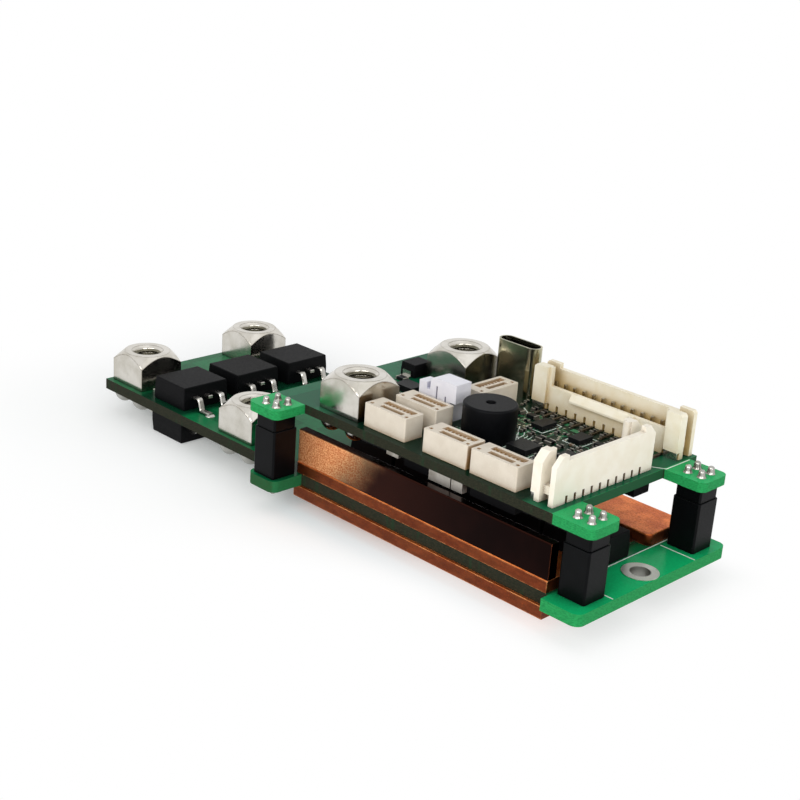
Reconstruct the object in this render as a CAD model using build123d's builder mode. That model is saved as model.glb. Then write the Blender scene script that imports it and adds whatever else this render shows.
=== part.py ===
from build123d import *
import os

os.makedirs("parts", exist_ok=True)

# Battery management board: a long power board below, a shorter control board above it on four pillars.
# X runs along the length to the connector end, Y runs to the back, Z is up.
# The origin is under the middle of the module, on the surface that it stands on.

# Power transistor, surface mount with a tab, three leads and a flat top
trans_height = 4.4
trans_length = 9.2
trans_width = 10.2
trans_top_draft = 4
trans_split = 2.0
trans_tab_out = 1.3
trans_tab_width = 9.0
trans_tab_in = 6.0
trans_tab_thickness = 1.27
lead_width = 1.0
lead_thickness = 0.55
lead_pitch = 2.54
lead_exit = 2.55
lead_straight = 1.3
lead_drop_at = 2.5
lead_reach = 4.9
lead_stub = 1.4
lead_bend = 0.42

# Lower board
board_left = -59.5
board_right = 59.5
board_front = -19.25
board_back = 19.25
strip_left = 52.5
strip_front = -20.9
strip_back = 17.1
lower_thickness = 2.0
corner_radius = 1.5
left_corner_radius = 0.6
vertex_margin = 1.0
pick_margin = 0.1
near = 0.01
inner_radius = 1.0
ear_half_width = 3.4
ear_reach = 25.7
lower_bottom = trans_height
lower_top = lower_bottom + lower_thickness

# Mounting hole with its plated ring
mount_x = 56.5
mount_y = -2.1
mount_hole_radius = 1.6
mount_ring_radius = 2.95
plating = 0.1
plating_wall = 0.2

# Pillars: a 2 x 2 socket on the lower board, a header base and four pins under the upper board
pin_pitch = 2.54
pin_side = 0.64
pin_fit = 0.05
pin_above = 1.1
pin_in_socket = 5.5
socket_side = 5.08
socket_height = 8.5
socket_rib = 0.25
base_side = 4.7
base_height = 2.4
tail_side = 0.5
tail_below = 1.0

# Upper board
upper_thickness = 1.6
upper_left = -9.3
upper_right = 51.3
upper_front = -18.9
upper_back = 17.7
tab_width = 7.3
tab_left_reach = 25.4
tab_right_reach = 58.8
tab_right_rows = [(-18.9, -11.9), (8.6, 15.5)]
tab_radius = 1.3
tab_inner_radius = 1.2
pillar_points = [(-5.1, -22.5), (55.6, -15.5), (55.6, 12.0), (-5.1, 22.5)]
upper_bottom = lower_top + socket_height + base_height
upper_top = upper_bottom + upper_thickness

# Copper bars
bar_thickness = 2.0
bar_left = -3.0
bar_right = 52.1
bar_depth = 9.7
rail_thickness = 1.8
rail_height = 5.9
rail_set_back = 0.15
rear_bar_back = 15.7
rear_bar_corner = 1.0
lower_bar_overhang = 0.6
lower_bar_thickness = 2.2

# Transistor rows: three at the left end, five between the copper bars, and as many under the board
left_row_x = -41.2
left_row_y = [-12.6, 0.1, 12.9]
lower_left_row_x = -41.0
lower_left_row_y = [-13.3, 0.1, 13.3]
inner_row_x = [3.4, 14.3, 25.2, 36.1, 46.9]
inner_row_y = -3.6

# Threaded square terminals
term_side = 9.3
term_height = 6.4
term_flat_radius = 4.35
term_edge_height = 4.35
term_thread_radius = 2.5
term_mouth_radius = 3.0
term_mouth_depth = 0.5
term_thread_depth = 5.5
term_pin_offset = 2.9
term_pin_side = 1.4
solder_radius = 1.95
solder_tip_radius = 1.2
solder_height = 2.4
lower_terms = [(-53.95, -13.5), (-53.95, 13.3), (-20.9, -13.7)]
upper_terms = [(4.6, -12.9), (4.6, 12.6)]

# Small slotted connectors
slot_length = 9.3
slot_width = 4.2
slot_height = 4.0
slot_floor = 0.9
front_slot_left = -2.1
front_slot_right = 2.9
rear_slot_left = -2.8
rear_slot_right = 3.9
slot_front_wall = 0.75
slot_front_gap = 1.0
slot_tongue = 0.5
slot_rear_gap = 1.35
dimple_side = 0.6
dimple_depth = 0.4
dimple_places = [(-3.85, -1.15), (3.95, -1.2)]
contact_pitch = 0.8
contact_count = 8
contact_width = 0.35
contact_thickness = 0.25
contact_height = 3.3
contact_foot = 0.6
slot_places = [(15.1, -15.3, 0), (15.4, -8.6, 0), (28.5, -15.5, 0), (38.6, -15.6, 0), (16.6, 6.5, 90)]

# Large box headers
header_pitch = 2.0
header_end = 3.1
header_depth = 4.3
header_height = 7.7
header_high_wall = 6.85
header_low_wall = 4.4
header_floor = 2.5
header_rear_thickness = 0.9
header_front_thickness = 0.7
header_cavity = 1.75
header_end_block = 2.8
header_end_chamfer = 1.5
header_pocket = 1.0
header_undercut = 2.0
header_undercut_height = 1.2
header_post_out = 0.7
header_post_width = 2.8
header_shoulder = 0.6
notch_width = 0.55
notch_height = 1.2
ledge_length = 12.0
ledge_low = 2.9
ledge_lip = 0.35
ledge_out = 0.65
ledge_shift = -1.2
ledge_rib = 1.0
header_pin_side = 0.5
header_pin_top = 4.8
nail_thickness = 0.6
nail_margin = 0.2
rear_header_pin_count = 13
rear_header_x = 35.5
rear_header_y = 12.9
side_header_pin_count = 10
side_header_x = 45.9
side_header_y = -5.4

# White two-pin connector
white_x = 14.95
white_y = -3.4
white_length = 8.3
white_depth = 3.6
white_height = 6.85
white_wall = 0.6
white_top_round = 1.0
white_ear_length = 2.5
white_ear_depth = 2.5
white_ear_height = 5.6
white_notch = 0.8
white_notch_depth = 1.1
white_overhang = 1.2
white_overhang_height = 3.6
white_cavity_depth = 2.3
white_cavity_height = 2.1
white_slit = 0.35
white_slit_floor = 1.8
white_slits = [(1.5, 5.5), (3.5, 4.3)]
white_pin_side = 0.6
white_pin_pitch = 2.5
white_pin_height = 5.4

# Buzzer
buzzer_x = 25.7
buzzer_y = -4.1
buzzer_radius = 4.5
buzzer_height = 5.9
buzzer_hole_radius = 0.8
buzzer_hole_depth = 2.0
buzzer_edge = 0.25

# Upright USB receptacle
usb_x = 14.4
usb_y = 16.0
usb_width = 8.94
usb_depth = 3.16
usb_wall = 0.3
usb_height = 9.2
usb_base_height = 2.4
usb_tongue_width = 6.7
usb_tongue_thickness = 0.7
usb_tongue_top = 8.4

# Diode on the upper board
diode_x = -2.4
diode_y = 7.9
diode_width = 3.5
diode_length = 4.4
diode_height = 2.4
diode_lead_width = 2.0
diode_lead_thickness = 0.25
diode_lead_rise = 1.2
diode_foot = 0.9

# Chips and small parts: x, y, size in x, size in y, height
chip_places = [
    (2.9, 0.8, 4.0, 3.2, 1.1),
    (28.3, 6.9, 2.4, 3.8, 0.8),
    (36.0, 6.9, 2.4, 3.4, 0.8),
    (32.9, -3.6, 4.0, 4.0, 0.9),
    (40.2, -1.0, 3.0, 3.0, 0.9),
]
small_part_rows = [
    (22.0, 2.2, 7, 1.9),
    (32.0, 1.8, 5, 2.0),
    (37.0, -6.0, 4, 1.9),
    (31.5, -8.2, 7, 1.8),
    (31.5, -11.2, 7, 1.8),
    (39.8, 6.0, 4, 1.9),
    (39.8, 9.0, 4, 1.9),
    (22.4, 11.6, 9, 2.1),
]
small_length = 1.1
small_width = 0.7
small_height = 0.5

# Parts under the upper board near its front edge and its right edge: x, y, size in x, size in y, height
under_metal = [
    (16.85, -16.2, 2.7, 1.2, 1.8),
    (27.3, -16.2, 4.6, 1.2, 2.9),
    (31.0, -16.2, 2.3, 1.2, 2.9),
]
under_black = [
    (16.85, -13.1, 4.4, 5.0, 2.3),
    (21.9, -14.4, 5.2, 4.2, 2.6),
    (29.1, -13.2, 7.0, 4.8, 2.9),
    (38.4, -14.9, 9.0, 4.0, 2.4),
    (49.4, 3.9, 2.8, 3.9, 1.7),
]


def export_piece(builder, name):
    builder.part.label = name
    export_step(builder.part, f"parts/{name}.step")


def top_of_lower(points, angle=0.0):
    return [Location((x, y, lower_top), (0, 0, angle)) for x, y in points]


def under_lower(points, angle=0.0):
    return [Location((x, y, lower_bottom), (180, 0, -angle)) for x, y in points]


def at_corners(points, pitch):
    return [(x + i * pitch / 2, y + j * pitch / 2) for x, y in points for i in (-1, 1) for j in (-1, 1)]


# One transistor, standing on its board with the leads to +X

with BuildPart() as trans_body:
    with BuildSketch():
        Rectangle(trans_length, trans_width)
    extrude(amount=trans_split)
    with BuildSketch(Plane.XY.offset(trans_split)):
        Rectangle(trans_length, trans_width)
    extrude(amount=trans_height - trans_split, taper=trans_top_draft)
    # seat of the metal tab in the underside
    with Locations(((trans_tab_in - trans_length) / 2, 0, 0)):
        Box(trans_tab_in, trans_tab_width, trans_tab_thickness,
            align=(Align.CENTER, Align.CENTER, Align.MIN), mode=Mode.SUBTRACT)

with BuildPart() as trans_lead:
    with BuildSketch(Plane.XZ) as lead_side:
        with BuildLine():
            Polyline(
                (trans_length / 2, lead_exit),
                (trans_length / 2 + lead_straight, lead_exit),
                (trans_length / 2 + lead_drop_at, lead_thickness),
                (trans_length / 2 + lead_reach, lead_thickness),
                (trans_length / 2 + lead_reach, 0),
                (trans_length / 2 + lead_drop_at - lead_thickness * 0.8, 0),
                (trans_length / 2 + lead_straight - lead_thickness * 0.6, lead_exit - lead_thickness),
                (trans_length / 2, lead_exit - lead_thickness),
                close=True,
            )
        make_face()
        bends = [v for v in lead_side.vertices()
                 if trans_length / 2 + pick_margin < abs(v.X) < trans_length / 2 + lead_reach - pick_margin]
        chamfer(bends, lead_bend)
    extrude(amount=lead_width / 2, both=True)

with BuildPart() as trans_metal:
    # tab that the body is moulded on
    with Locations(((trans_tab_in - trans_tab_out - trans_length) / 2, 0, 0)):
        Box(trans_tab_in + trans_tab_out, trans_tab_width, trans_tab_thickness,
            align=(Align.CENTER, Align.CENTER, Align.MIN))
    with Locations((0, -lead_pitch, 0), (0, lead_pitch, 0)):
        add(trans_lead.part)
    # middle lead, cut short
    with Locations((trans_length / 2 + lead_stub / 2, 0, lead_exit - lead_thickness / 2)):
        Box(lead_stub, lead_width, lead_thickness)


# Lower board with its ears, strip, mounting hole and pin holes

with BuildPart() as lower_board:
    with BuildSketch(Plane.XY.offset(lower_bottom)) as lower_outline:
        with Locations(((board_left + strip_left) / 2, (board_front + board_back) / 2)):
            Rectangle(strip_left - board_left, board_back - board_front)
        with Locations(((strip_left + board_right) / 2, (strip_front + strip_back) / 2)):
            Rectangle(board_right - strip_left, strip_back - strip_front)
        with Locations((pillar_points[0][0], 0)):
            Rectangle(2 * ear_half_width, 2 * ear_reach)
        corners = lower_outline.vertices()
        left_end = [v for v in corners if abs(v.X - board_left) < near]
        outer = [v for v in corners if abs(v.X - board_right) < near or abs(abs(v.Y) - ear_reach) < near]
        inner = [v for v in corners if abs(abs(v.Y) - board_back) < near
                 and board_left + vertex_margin < v.X < strip_left - vertex_margin]
        fillet(outer, corner_radius)
        fillet(left_end, left_corner_radius)
        fillet(inner, inner_radius)
    extrude(amount=lower_thickness)
    with Locations((mount_x, mount_y, lower_top)):
        Hole(mount_hole_radius + plating_wall)
    with Locations(*[(x, y, lower_top) for x, y in at_corners(pillar_points, pin_pitch)]):
        Box(tail_side, tail_side, lower_thickness, align=(Align.CENTER, Align.CENTER, Align.MAX),
            mode=Mode.SUBTRACT)
    with Locations(*[(x, y, lower_top) for x, y in at_corners(lower_terms, 2 * term_pin_offset)]):
        Box(term_pin_side, term_pin_side, lower_thickness, align=(Align.CENTER, Align.CENTER, Align.MAX),
            mode=Mode.SUBTRACT)
export_piece(lower_board, "lower_board")

with BuildPart() as mounting_hole_ring:
    with Locations((mount_x, mount_y, lower_top)):
        Cylinder(mount_ring_radius, plating, align=(Align.CENTER, Align.CENTER, Align.MIN))
    with Locations((mount_x, mount_y, lower_bottom)):
        Cylinder(mount_ring_radius, plating, align=(Align.CENTER, Align.CENTER, Align.MAX))
    with Locations((mount_x, mount_y, lower_bottom)):
        Cylinder(mount_hole_radius + plating_wall, lower_thickness, align=(Align.CENTER, Align.CENTER, Align.MIN))
    with Locations((mount_x, mount_y, lower_top + plating)):
        Hole(mount_hole_radius)
export_piece(mounting_hole_ring, "mounting_hole_ring")


# Copper bars

bar_middle = (bar_left + bar_right) / 2
bar_length = bar_right - bar_left

with BuildPart() as front_copper_bar:
    with Locations((bar_middle, board_front + bar_depth / 2, lower_top)):
        Box(bar_length, bar_depth, bar_thickness, align=(Align.CENTER, Align.CENTER, Align.MIN))
    chamfer(front_copper_bar.edges().filter_by(Axis.X).group_by(Axis.Z)[-1], 0.15)
export_piece(front_copper_bar, "front_copper_bar")

with BuildPart() as front_copper_rail:
    with Locations((bar_middle, board_front + rail_set_back + rail_thickness / 2, lower_top + bar_thickness)):
        Box(bar_length, rail_thickness, rail_height, align=(Align.CENTER, Align.CENTER, Align.MIN))
    chamfer(front_copper_rail.edges().filter_by(Axis.X).group_by(Axis.Z)[-1], 0.2)
export_piece(front_copper_rail, "front_copper_rail")

with BuildPart() as rear_copper_bar:
    with Locations((bar_middle, rear_bar_back - bar_depth / 2, lower_top)):
        Box(bar_length, bar_depth, bar_thickness, align=(Align.CENTER, Align.CENTER, Align.MIN))
    fillet(rear_copper_bar.edges().filter_by(Axis.Z).sort_by(Axis.X)[-2:], rear_bar_corner)
    chamfer(rear_copper_bar.faces().sort_by(Axis.Z)[-1].edges(), 0.15)
export_piece(rear_copper_bar, "rear_copper_bar")

with BuildPart() as lower_front_copper_bar:
    with Locations((bar_middle, board_front - lower_bar_overhang + bar_depth / 2, lower_bottom)):
        Box(bar_length, bar_depth, lower_bar_thickness, align=(Align.CENTER, Align.CENTER, Align.MAX))
    chamfer(lower_front_copper_bar.edges().filter_by(Axis.X).group_by(Axis.Z)[0], 0.2)
export_piece(lower_front_copper_bar, "lower_front_copper_bar")

with BuildPart() as lower_rear_copper_bar:
    with Locations((bar_middle, rear_bar_back - bar_depth / 2, lower_bottom)):
        Box(bar_length, bar_depth, lower_bar_thickness, align=(Align.CENTER, Align.CENTER, Align.MAX))
    chamfer(lower_rear_copper_bar.edges().filter_by(Axis.X).group_by(Axis.Z)[0], 0.2)
export_piece(lower_rear_copper_bar, "lower_rear_copper_bar")


# Transistors on the left end, one node each for body and metal

for index, row_y in enumerate(left_row_y, start=1):
    with BuildPart() as left_body:
        with Locations(*top_of_lower([(left_row_x, row_y)])):
            add(trans_body.part)
    export_piece(left_body, f"left_transistor_body_{index}")
    with BuildPart() as left_metal:
        with Locations(*top_of_lower([(left_row_x, row_y)])):
            add(trans_metal.part)
    export_piece(left_metal, f"left_transistor_metal_{index}")

lower_left_points = [(lower_left_row_x, y) for y in lower_left_row_y]
inner_points = [(x, inner_row_y) for x in inner_row_x]

with BuildPart() as lower_left_bodies:
    with Locations(*under_lower(lower_left_points)):
        add(trans_body.part)
export_piece(lower_left_bodies, "lower_left_transistor_bodies")

with BuildPart() as lower_left_metal:
    with Locations(*under_lower(lower_left_points)):
        add(trans_metal.part)
export_piece(lower_left_metal, "lower_left_transistor_metal")

with BuildPart() as inner_bodies:
    with Locations(*top_of_lower(inner_points, 90)):
        add(trans_body.part)
export_piece(inner_bodies, "inner_transistor_bodies")

with BuildPart() as inner_metal:
    with Locations(*top_of_lower(inner_points, 90)):
        add(trans_metal.part)
export_piece(inner_metal, "inner_transistor_metal")

with BuildPart() as lower_inner_bodies:
    with Locations(*under_lower(inner_points, 90)):
        add(trans_body.part)
export_piece(lower_inner_bodies, "lower_inner_transistor_bodies")

with BuildPart() as lower_inner_metal:
    with Locations(*under_lower(inner_points, 90)):
        add(trans_metal.part)
export_piece(lower_inner_metal, "lower_inner_transistor_metal")


# Square terminals: a block whose top corners are turned to a cone, a tapped hole and four solder pins

corner_reach = term_side * 2 ** 0.5 / 2
cone_drop = term_height - term_edge_height


def terminal_at(x, y, board_top, board_thickness, name):
    with BuildPart() as terminal:
        with Locations((x, y, board_top)):
            Box(term_side, term_side, term_height, align=(Align.CENTER, Align.CENTER, Align.MIN))
        with BuildSketch(Plane(origin=(x, y, board_top), x_dir=(1, 0, 0), z_dir=(0, -1, 0))):
            with BuildLine():
                Polyline(
                    (0, 0),
                    (corner_reach, 0),
                    (corner_reach, term_edge_height),
                    (term_flat_radius, term_height),
                    (0, term_height),
                    close=True,
                )
            make_face()
        revolve(axis=Axis((x, y, board_top), (0, 0, 1)), mode=Mode.INTERSECT)
        with Locations((x, y, board_top + term_height)):
            Cylinder(term_thread_radius, term_thread_depth,
                     align=(Align.CENTER, Align.CENTER, Align.MAX), mode=Mode.SUBTRACT)
            Cone(term_thread_radius, term_mouth_radius, term_mouth_depth,
                 align=(Align.CENTER, Align.CENTER, Align.MAX), mode=Mode.SUBTRACT)
        with Locations(*[(px, py, board_top) for px, py in at_corners([(x, y)], 2 * term_pin_offset)]):
            Box(term_pin_side, term_pin_side, board_thickness, align=(Align.CENTER, Align.CENTER, Align.MAX))
    export_piece(terminal, name)


for index, (term_x, term_y) in enumerate(lower_terms, start=1):
    terminal_at(term_x, term_y, lower_top, lower_thickness, f"power_terminal_{index}")
for index, (term_x, term_y) in enumerate(upper_terms, start=1):
    terminal_at(term_x, term_y, upper_top, upper_thickness, f"control_terminal_{index}")

solder_side = 2 * solder_radius
tip_inset = solder_radius - solder_tip_radius
tip_end = solder_side - tip_inset

with BuildPart() as solder_cone:
    Wedge(solder_side, solder_height, solder_side, tip_inset, tip_inset, tip_end, tip_end,
          rotation=(-90, 0, 0), align=(Align.CENTER, Align.MIN, Align.CENTER))
    Wedge(solder_side, solder_height, solder_side, tip_inset, tip_inset, tip_end, tip_end,
          rotation=(-90, 0, 45), align=(Align.CENTER, Align.MIN, Align.CENTER), mode=Mode.INTERSECT)

with BuildPart() as terminal_solder:
    lower_spots = [(x, y, lower_bottom) for x, y in at_corners(lower_terms, 2 * term_pin_offset)]
    upper_spots = [(x, y, upper_bottom) for x, y in at_corners(upper_terms, 2 * term_pin_offset)]
    with Locations(*lower_spots, *upper_spots):
        add(solder_cone.part)
export_piece(terminal_solder, "terminal_solder")


# Pillars

for index, (pillar_x, pillar_y) in enumerate(pillar_points, start=1):
    with BuildPart() as pillar_socket:
        with Locations((pillar_x, pillar_y, lower_top)):
            Box(socket_side, socket_side, socket_height, align=(Align.CENTER, Align.CENTER, Align.MIN))
        chamfer(pillar_socket.edges().filter_by(Axis.Z), socket_rib)
        # square openings for the pins
        with Locations(*[(x, y, lower_top + socket_height) for x, y in at_corners([(pillar_x, pillar_y)], pin_pitch)]):
            Box(pin_side + 2 * pin_fit, pin_side + 2 * pin_fit, pin_in_socket + pin_fit,
                align=(Align.CENTER, Align.CENTER, Align.MAX), mode=Mode.SUBTRACT)
    export_piece(pillar_socket, f"pillar_socket_{index}")
    with BuildPart() as pillar_base:
        with Locations((pillar_x, pillar_y, upper_bottom)):
            Box(base_side, base_side, base_height, align=(Align.CENTER, Align.CENTER, Align.MAX))
        chamfer(pillar_base.edges().filter_by(Axis.Z), socket_rib)
        with Locations(*[(x, y, upper_bottom) for x, y in at_corners([(pillar_x, pillar_y)], pin_pitch)]):
            Box(pin_side, pin_side, base_height, align=(Align.CENTER, Align.CENTER, Align.MAX), mode=Mode.SUBTRACT)
    export_piece(pillar_base, f"pillar_header_base_{index}")

pillar_pin_length = pin_in_socket + base_height + upper_thickness + pin_above

with BuildPart() as pillar_pins:
    with Locations(*[(x, y, upper_top + pin_above) for x, y in at_corners(pillar_points, pin_pitch)]):
        Box(pin_side, pin_side, pillar_pin_length, align=(Align.CENTER, Align.CENTER, Align.MAX))
    chamfer(pillar_pins.faces().group_by(Axis.Z)[-1].edges(), 0.15)
export_piece(pillar_pins, "pillar_pins")

with BuildPart() as socket_tails:
    with Locations(*[(x, y, lower_top) for x, y in at_corners(pillar_points, pin_pitch)]):
        Box(tail_side, tail_side, lower_thickness + tail_below, align=(Align.CENTER, Align.CENTER, Align.MAX))
export_piece(socket_tails, "socket_tails")


# Upper board with a tab at each pillar

with BuildPart() as upper_board:
    with BuildSketch(Plane.XY.offset(upper_bottom)) as upper_outline:
        with Locations(((upper_left + upper_right) / 2, (upper_front + upper_back) / 2)):
            Rectangle(upper_right - upper_left, upper_back - upper_front)
        with Locations((upper_left + tab_width / 2, 0)):
            Rectangle(tab_width, 2 * tab_left_reach)
        for low, high in tab_right_rows:
            with Locations(((tab_right_reach + upper_right) / 2, (low + high) / 2)):
                Rectangle(tab_right_reach - upper_right, high - low)
        tips = [v for v in upper_outline.vertices()
                if abs(abs(v.Y) - tab_left_reach) < near or abs(v.X - tab_right_reach) < near]
        inner_left = [v for v in upper_outline.vertices() if abs(v.X - upper_left - tab_width) < near
                      and abs(v.Y) < tab_left_reach - vertex_margin]
        inner_right = [v for v in upper_outline.vertices() if abs(v.X - upper_right) < near
                       and upper_front + vertex_margin < v.Y < upper_back - vertex_margin]
        fillet(tips, tab_radius)
        fillet(inner_left + inner_right, tab_inner_radius)
    extrude(amount=upper_thickness)
    with Locations(*[(x, y, upper_top) for x, y in at_corners(pillar_points, pin_pitch)]):
        Box(pin_side, pin_side, upper_thickness, align=(Align.CENTER, Align.CENTER, Align.MAX), mode=Mode.SUBTRACT)
    with Locations(*[(x, y, upper_top) for x, y in at_corners(upper_terms, 2 * term_pin_offset)]):
        Box(term_pin_side, term_pin_side, upper_thickness, align=(Align.CENTER, Align.CENTER, Align.MAX),
            mode=Mode.SUBTRACT)
export_piece(upper_board, "upper_board")


# Small slotted connectors: a short front slot, a tongue and a longer rear slot with a row of contacts

front_slot_y = -slot_width / 2 + slot_front_wall
rear_slot_y = front_slot_y + slot_front_gap + slot_tongue
contact_back = rear_slot_y + slot_rear_gap
contact_middle = (rear_slot_left + rear_slot_right) / 2
contact_row = [contact_middle + (i - (contact_count - 1) / 2) * contact_pitch for i in range(contact_count)]

with BuildPart() as slot_contacts:
    with Locations(*[(x, contact_back, 0) for x in contact_row]):
        Box(contact_width, contact_thickness, contact_height, align=(Align.CENTER, Align.MAX, Align.MIN))
        Box(contact_width, slot_width / 2 + contact_foot - contact_back, contact_thickness,
            align=(Align.CENTER, Align.MIN, Align.MIN))

with BuildPart() as slot_housing:
    Box(slot_length, slot_width, slot_height, align=(Align.CENTER, Align.CENTER, Align.MIN))
    chamfer(slot_housing.edges().filter_by(Axis.Z), 0.15)
    with Locations((front_slot_left, front_slot_y, slot_floor)):
        Box(front_slot_right - front_slot_left, slot_front_gap, slot_height,
            align=(Align.MIN, Align.MIN, Align.MIN), mode=Mode.SUBTRACT)
    with Locations((rear_slot_left, rear_slot_y, slot_floor)):
        Box(rear_slot_right - rear_slot_left, slot_rear_gap, slot_height,
            align=(Align.MIN, Align.MIN, Align.MIN), mode=Mode.SUBTRACT)
    with Locations(*[(x, y, slot_height) for x, y in dimple_places]):
        Box(dimple_side, dimple_side, dimple_depth, align=(Align.CENTER, Align.CENTER, Align.MAX),
            mode=Mode.SUBTRACT)
    add(slot_contacts.part, mode=Mode.SUBTRACT)

for index, (slot_x, slot_y, slot_turn) in enumerate(slot_places, start=1):
    with BuildPart() as small_connector:
        with Locations(Location((slot_x, slot_y, upper_top), (0, 0, slot_turn))):
            add(slot_housing.part)
    export_piece(small_connector, f"small_connector_{index}")

with BuildPart() as small_connector_contacts:
    with Locations(*[Location((x, y, upper_top), (0, 0, turn)) for x, y, turn in slot_places]):
        add(slot_contacts.part)
export_piece(small_connector_contacts, "small_connector_contacts")


# Large box headers: a high rear wall, a low front wall with a latch ledge, posts at both ends.
# Each is drawn along X with its low wall to the front, centred on its own depth.

def header_shape(pin_count):
    length = (pin_count - 1) * header_pitch + 2 * header_end
    rear = header_depth / 2
    wall_front = -rear + header_post_out
    cavity_back = rear - header_rear_thickness
    cavity_front = cavity_back - header_cavity
    pin_line = cavity_back - header_cavity / 2
    columns = [(i - (pin_count - 1) / 2) * header_pitch for i in range(pin_count)]
    block_places = [(side * (length - header_end_block) / 2, rear, 0) for side in (-1, 1)]
    post_places = [(side * (length - header_post_width) / 2, -rear, notch_height) for side in (-1, 1)]
    with BuildPart() as housing:
        # floor, high rear wall and low front wall
        with Locations((0, rear, 0)):
            Box(length, rear - wall_front, header_floor, align=(Align.CENTER, Align.MAX, Align.MIN))
            Box(length, header_rear_thickness, header_high_wall, align=(Align.CENTER, Align.MAX, Align.MIN))
        with Locations((0, wall_front, 0)):
            Box(length, header_front_thickness, header_low_wall, align=(Align.CENTER, Align.MIN, Align.MIN))
            Box(length, header_front_thickness, header_height, align=(Align.CENTER, Align.MIN, Align.MIN))
        with Locations((0, wall_front, header_low_wall)):
            Box(length - 2 * (header_end_block + header_shoulder), header_front_thickness, header_height,
                align=(Align.CENTER, Align.MIN, Align.MIN), mode=Mode.SUBTRACT)
        # end blocks with a slot along the cavity, and the posts in front of them
        with Locations(*block_places):
            Box(header_end_block, rear - wall_front, header_height, align=(Align.CENTER, Align.MAX, Align.MIN))
        with Locations(*post_places):
            Box(header_post_width, header_post_out, header_height - notch_height,
                align=(Align.CENTER, Align.MIN, Align.MIN))
        with Locations((0, cavity_front, header_floor)):
            Box(length, header_cavity, header_height, align=(Align.CENTER, Align.MIN, Align.MIN),
                mode=Mode.SUBTRACT)
        # pockets in the floor at both ends, undercut along the board
        for pocket, pocket_height in ((header_pocket, header_floor), (header_undercut, header_undercut_height)):
            with Locations(*[(side * (length - pocket) / 2, cavity_front, 0) for side in (-1, 1)]):
                Box(pocket, header_cavity, pocket_height, align=(Align.CENTER, Align.MIN, Align.MIN),
                    mode=Mode.SUBTRACT)
        tops = housing.edges().filter_by(Axis.Y).group_by(Axis.Z)[-1]
        chamfer([e for e in tops if abs(e.center().X) > length / 2 - near], header_end_chamfer)
        # notches at the foot of both long walls, one at each pin
        for notch_y, reach in ((wall_front, Align.MIN), (rear, Align.MAX)):
            with Locations(*[(x, notch_y, 0) for x in columns]):
                Box(notch_width, header_front_thickness, notch_height, align=(Align.CENTER, reach, Align.MIN),
                    mode=Mode.SUBTRACT)
        # latch ledge, drawn as its section, with a rib at one end
        with BuildSketch(Plane(origin=(ledge_shift, wall_front, 0), x_dir=(0, -1, 0), z_dir=(-1, 0, 0))):
            with BuildLine():
                Polyline(
                    (0, ledge_low),
                    (ledge_out, ledge_low),
                    (ledge_out, ledge_low + ledge_lip),
                    (0, header_low_wall),
                    close=True,
                )
            make_face()
        extrude(amount=ledge_length / 2, both=True)
        with Locations((ledge_shift + ledge_length / 2, wall_front, 0)):
            Box(ledge_rib, ledge_out, header_low_wall, align=(Align.MIN, Align.MAX, Align.MIN))
        # seats of the pins in the floor
        with Locations(*[(x, pin_line, 0) for x in columns]):
            Box(header_pin_side, header_pin_side, header_floor,
                align=(Align.CENTER, Align.CENTER, Align.MIN), mode=Mode.SUBTRACT)
    with BuildPart() as pins:
        with Locations(*[(x, pin_line, 0) for x in columns]):
            Box(header_pin_side, header_pin_side, header_pin_top, align=(Align.CENTER, Align.CENTER, Align.MIN))
    with BuildPart() as nails:
        with Locations(*[(x, y, 0) for x, y, z in post_places]):
            Box(header_post_width - 2 * nail_margin, nail_thickness, notch_height, align=(Align.CENTER, Align.MIN, Align.MIN))
    return housing.part, pins.part, nails.part


rear_parts = header_shape(rear_header_pin_count)
side_parts = header_shape(side_header_pin_count)
rear_place = Location((rear_header_x, rear_header_y + header_depth / 2, upper_top))
side_place = Location((side_header_x + header_depth / 2, side_header_y, upper_top), (0, 0, -90))

for prefix, pieces, place in (("rear_header", rear_parts, rear_place), ("side_header", side_parts, side_place)):
    for piece, ending in zip(pieces, ("housing", "pins", "solder_tabs")):
        with BuildPart() as header_piece:
            with Locations(place):
                add(piece)
        export_piece(header_piece, f"{prefix}_{ending}")


# White two-pin connector, open to the back, with a lower ear at its left end and an overhang at its right

white_left = white_x - white_length / 2
white_right = white_x + white_length / 2
white_front = white_y - white_depth / 2
white_rear = white_y + white_depth / 2
white_body_left = white_left + white_ear_length
white_body_length = white_length - white_ear_length
white_cavity_top = white_height - white_wall
white_pin_y = white_rear - white_cavity_depth - white_pin_side
white_pins_at = [(white_x + white_ear_length / 2 + side * white_pin_pitch / 2, white_pin_y) for side in (-1, 1)]

with BuildPart() as white_pins:
    # each pin stands in the body and turns back into the opening
    with Locations(*[(x, y, upper_top) for x, y in white_pins_at]):
        Box(white_pin_side, white_pin_side, white_pin_height, align=(Align.CENTER, Align.CENTER, Align.MIN))
    with Locations(*[(x, y, upper_top + white_pin_height) for x, y in white_pins_at]):
        Box(white_pin_side, white_cavity_depth, white_pin_side, align=(Align.CENTER, Align.MIN, Align.MAX))
export_piece(white_pins, "white_connector_pins")

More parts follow.
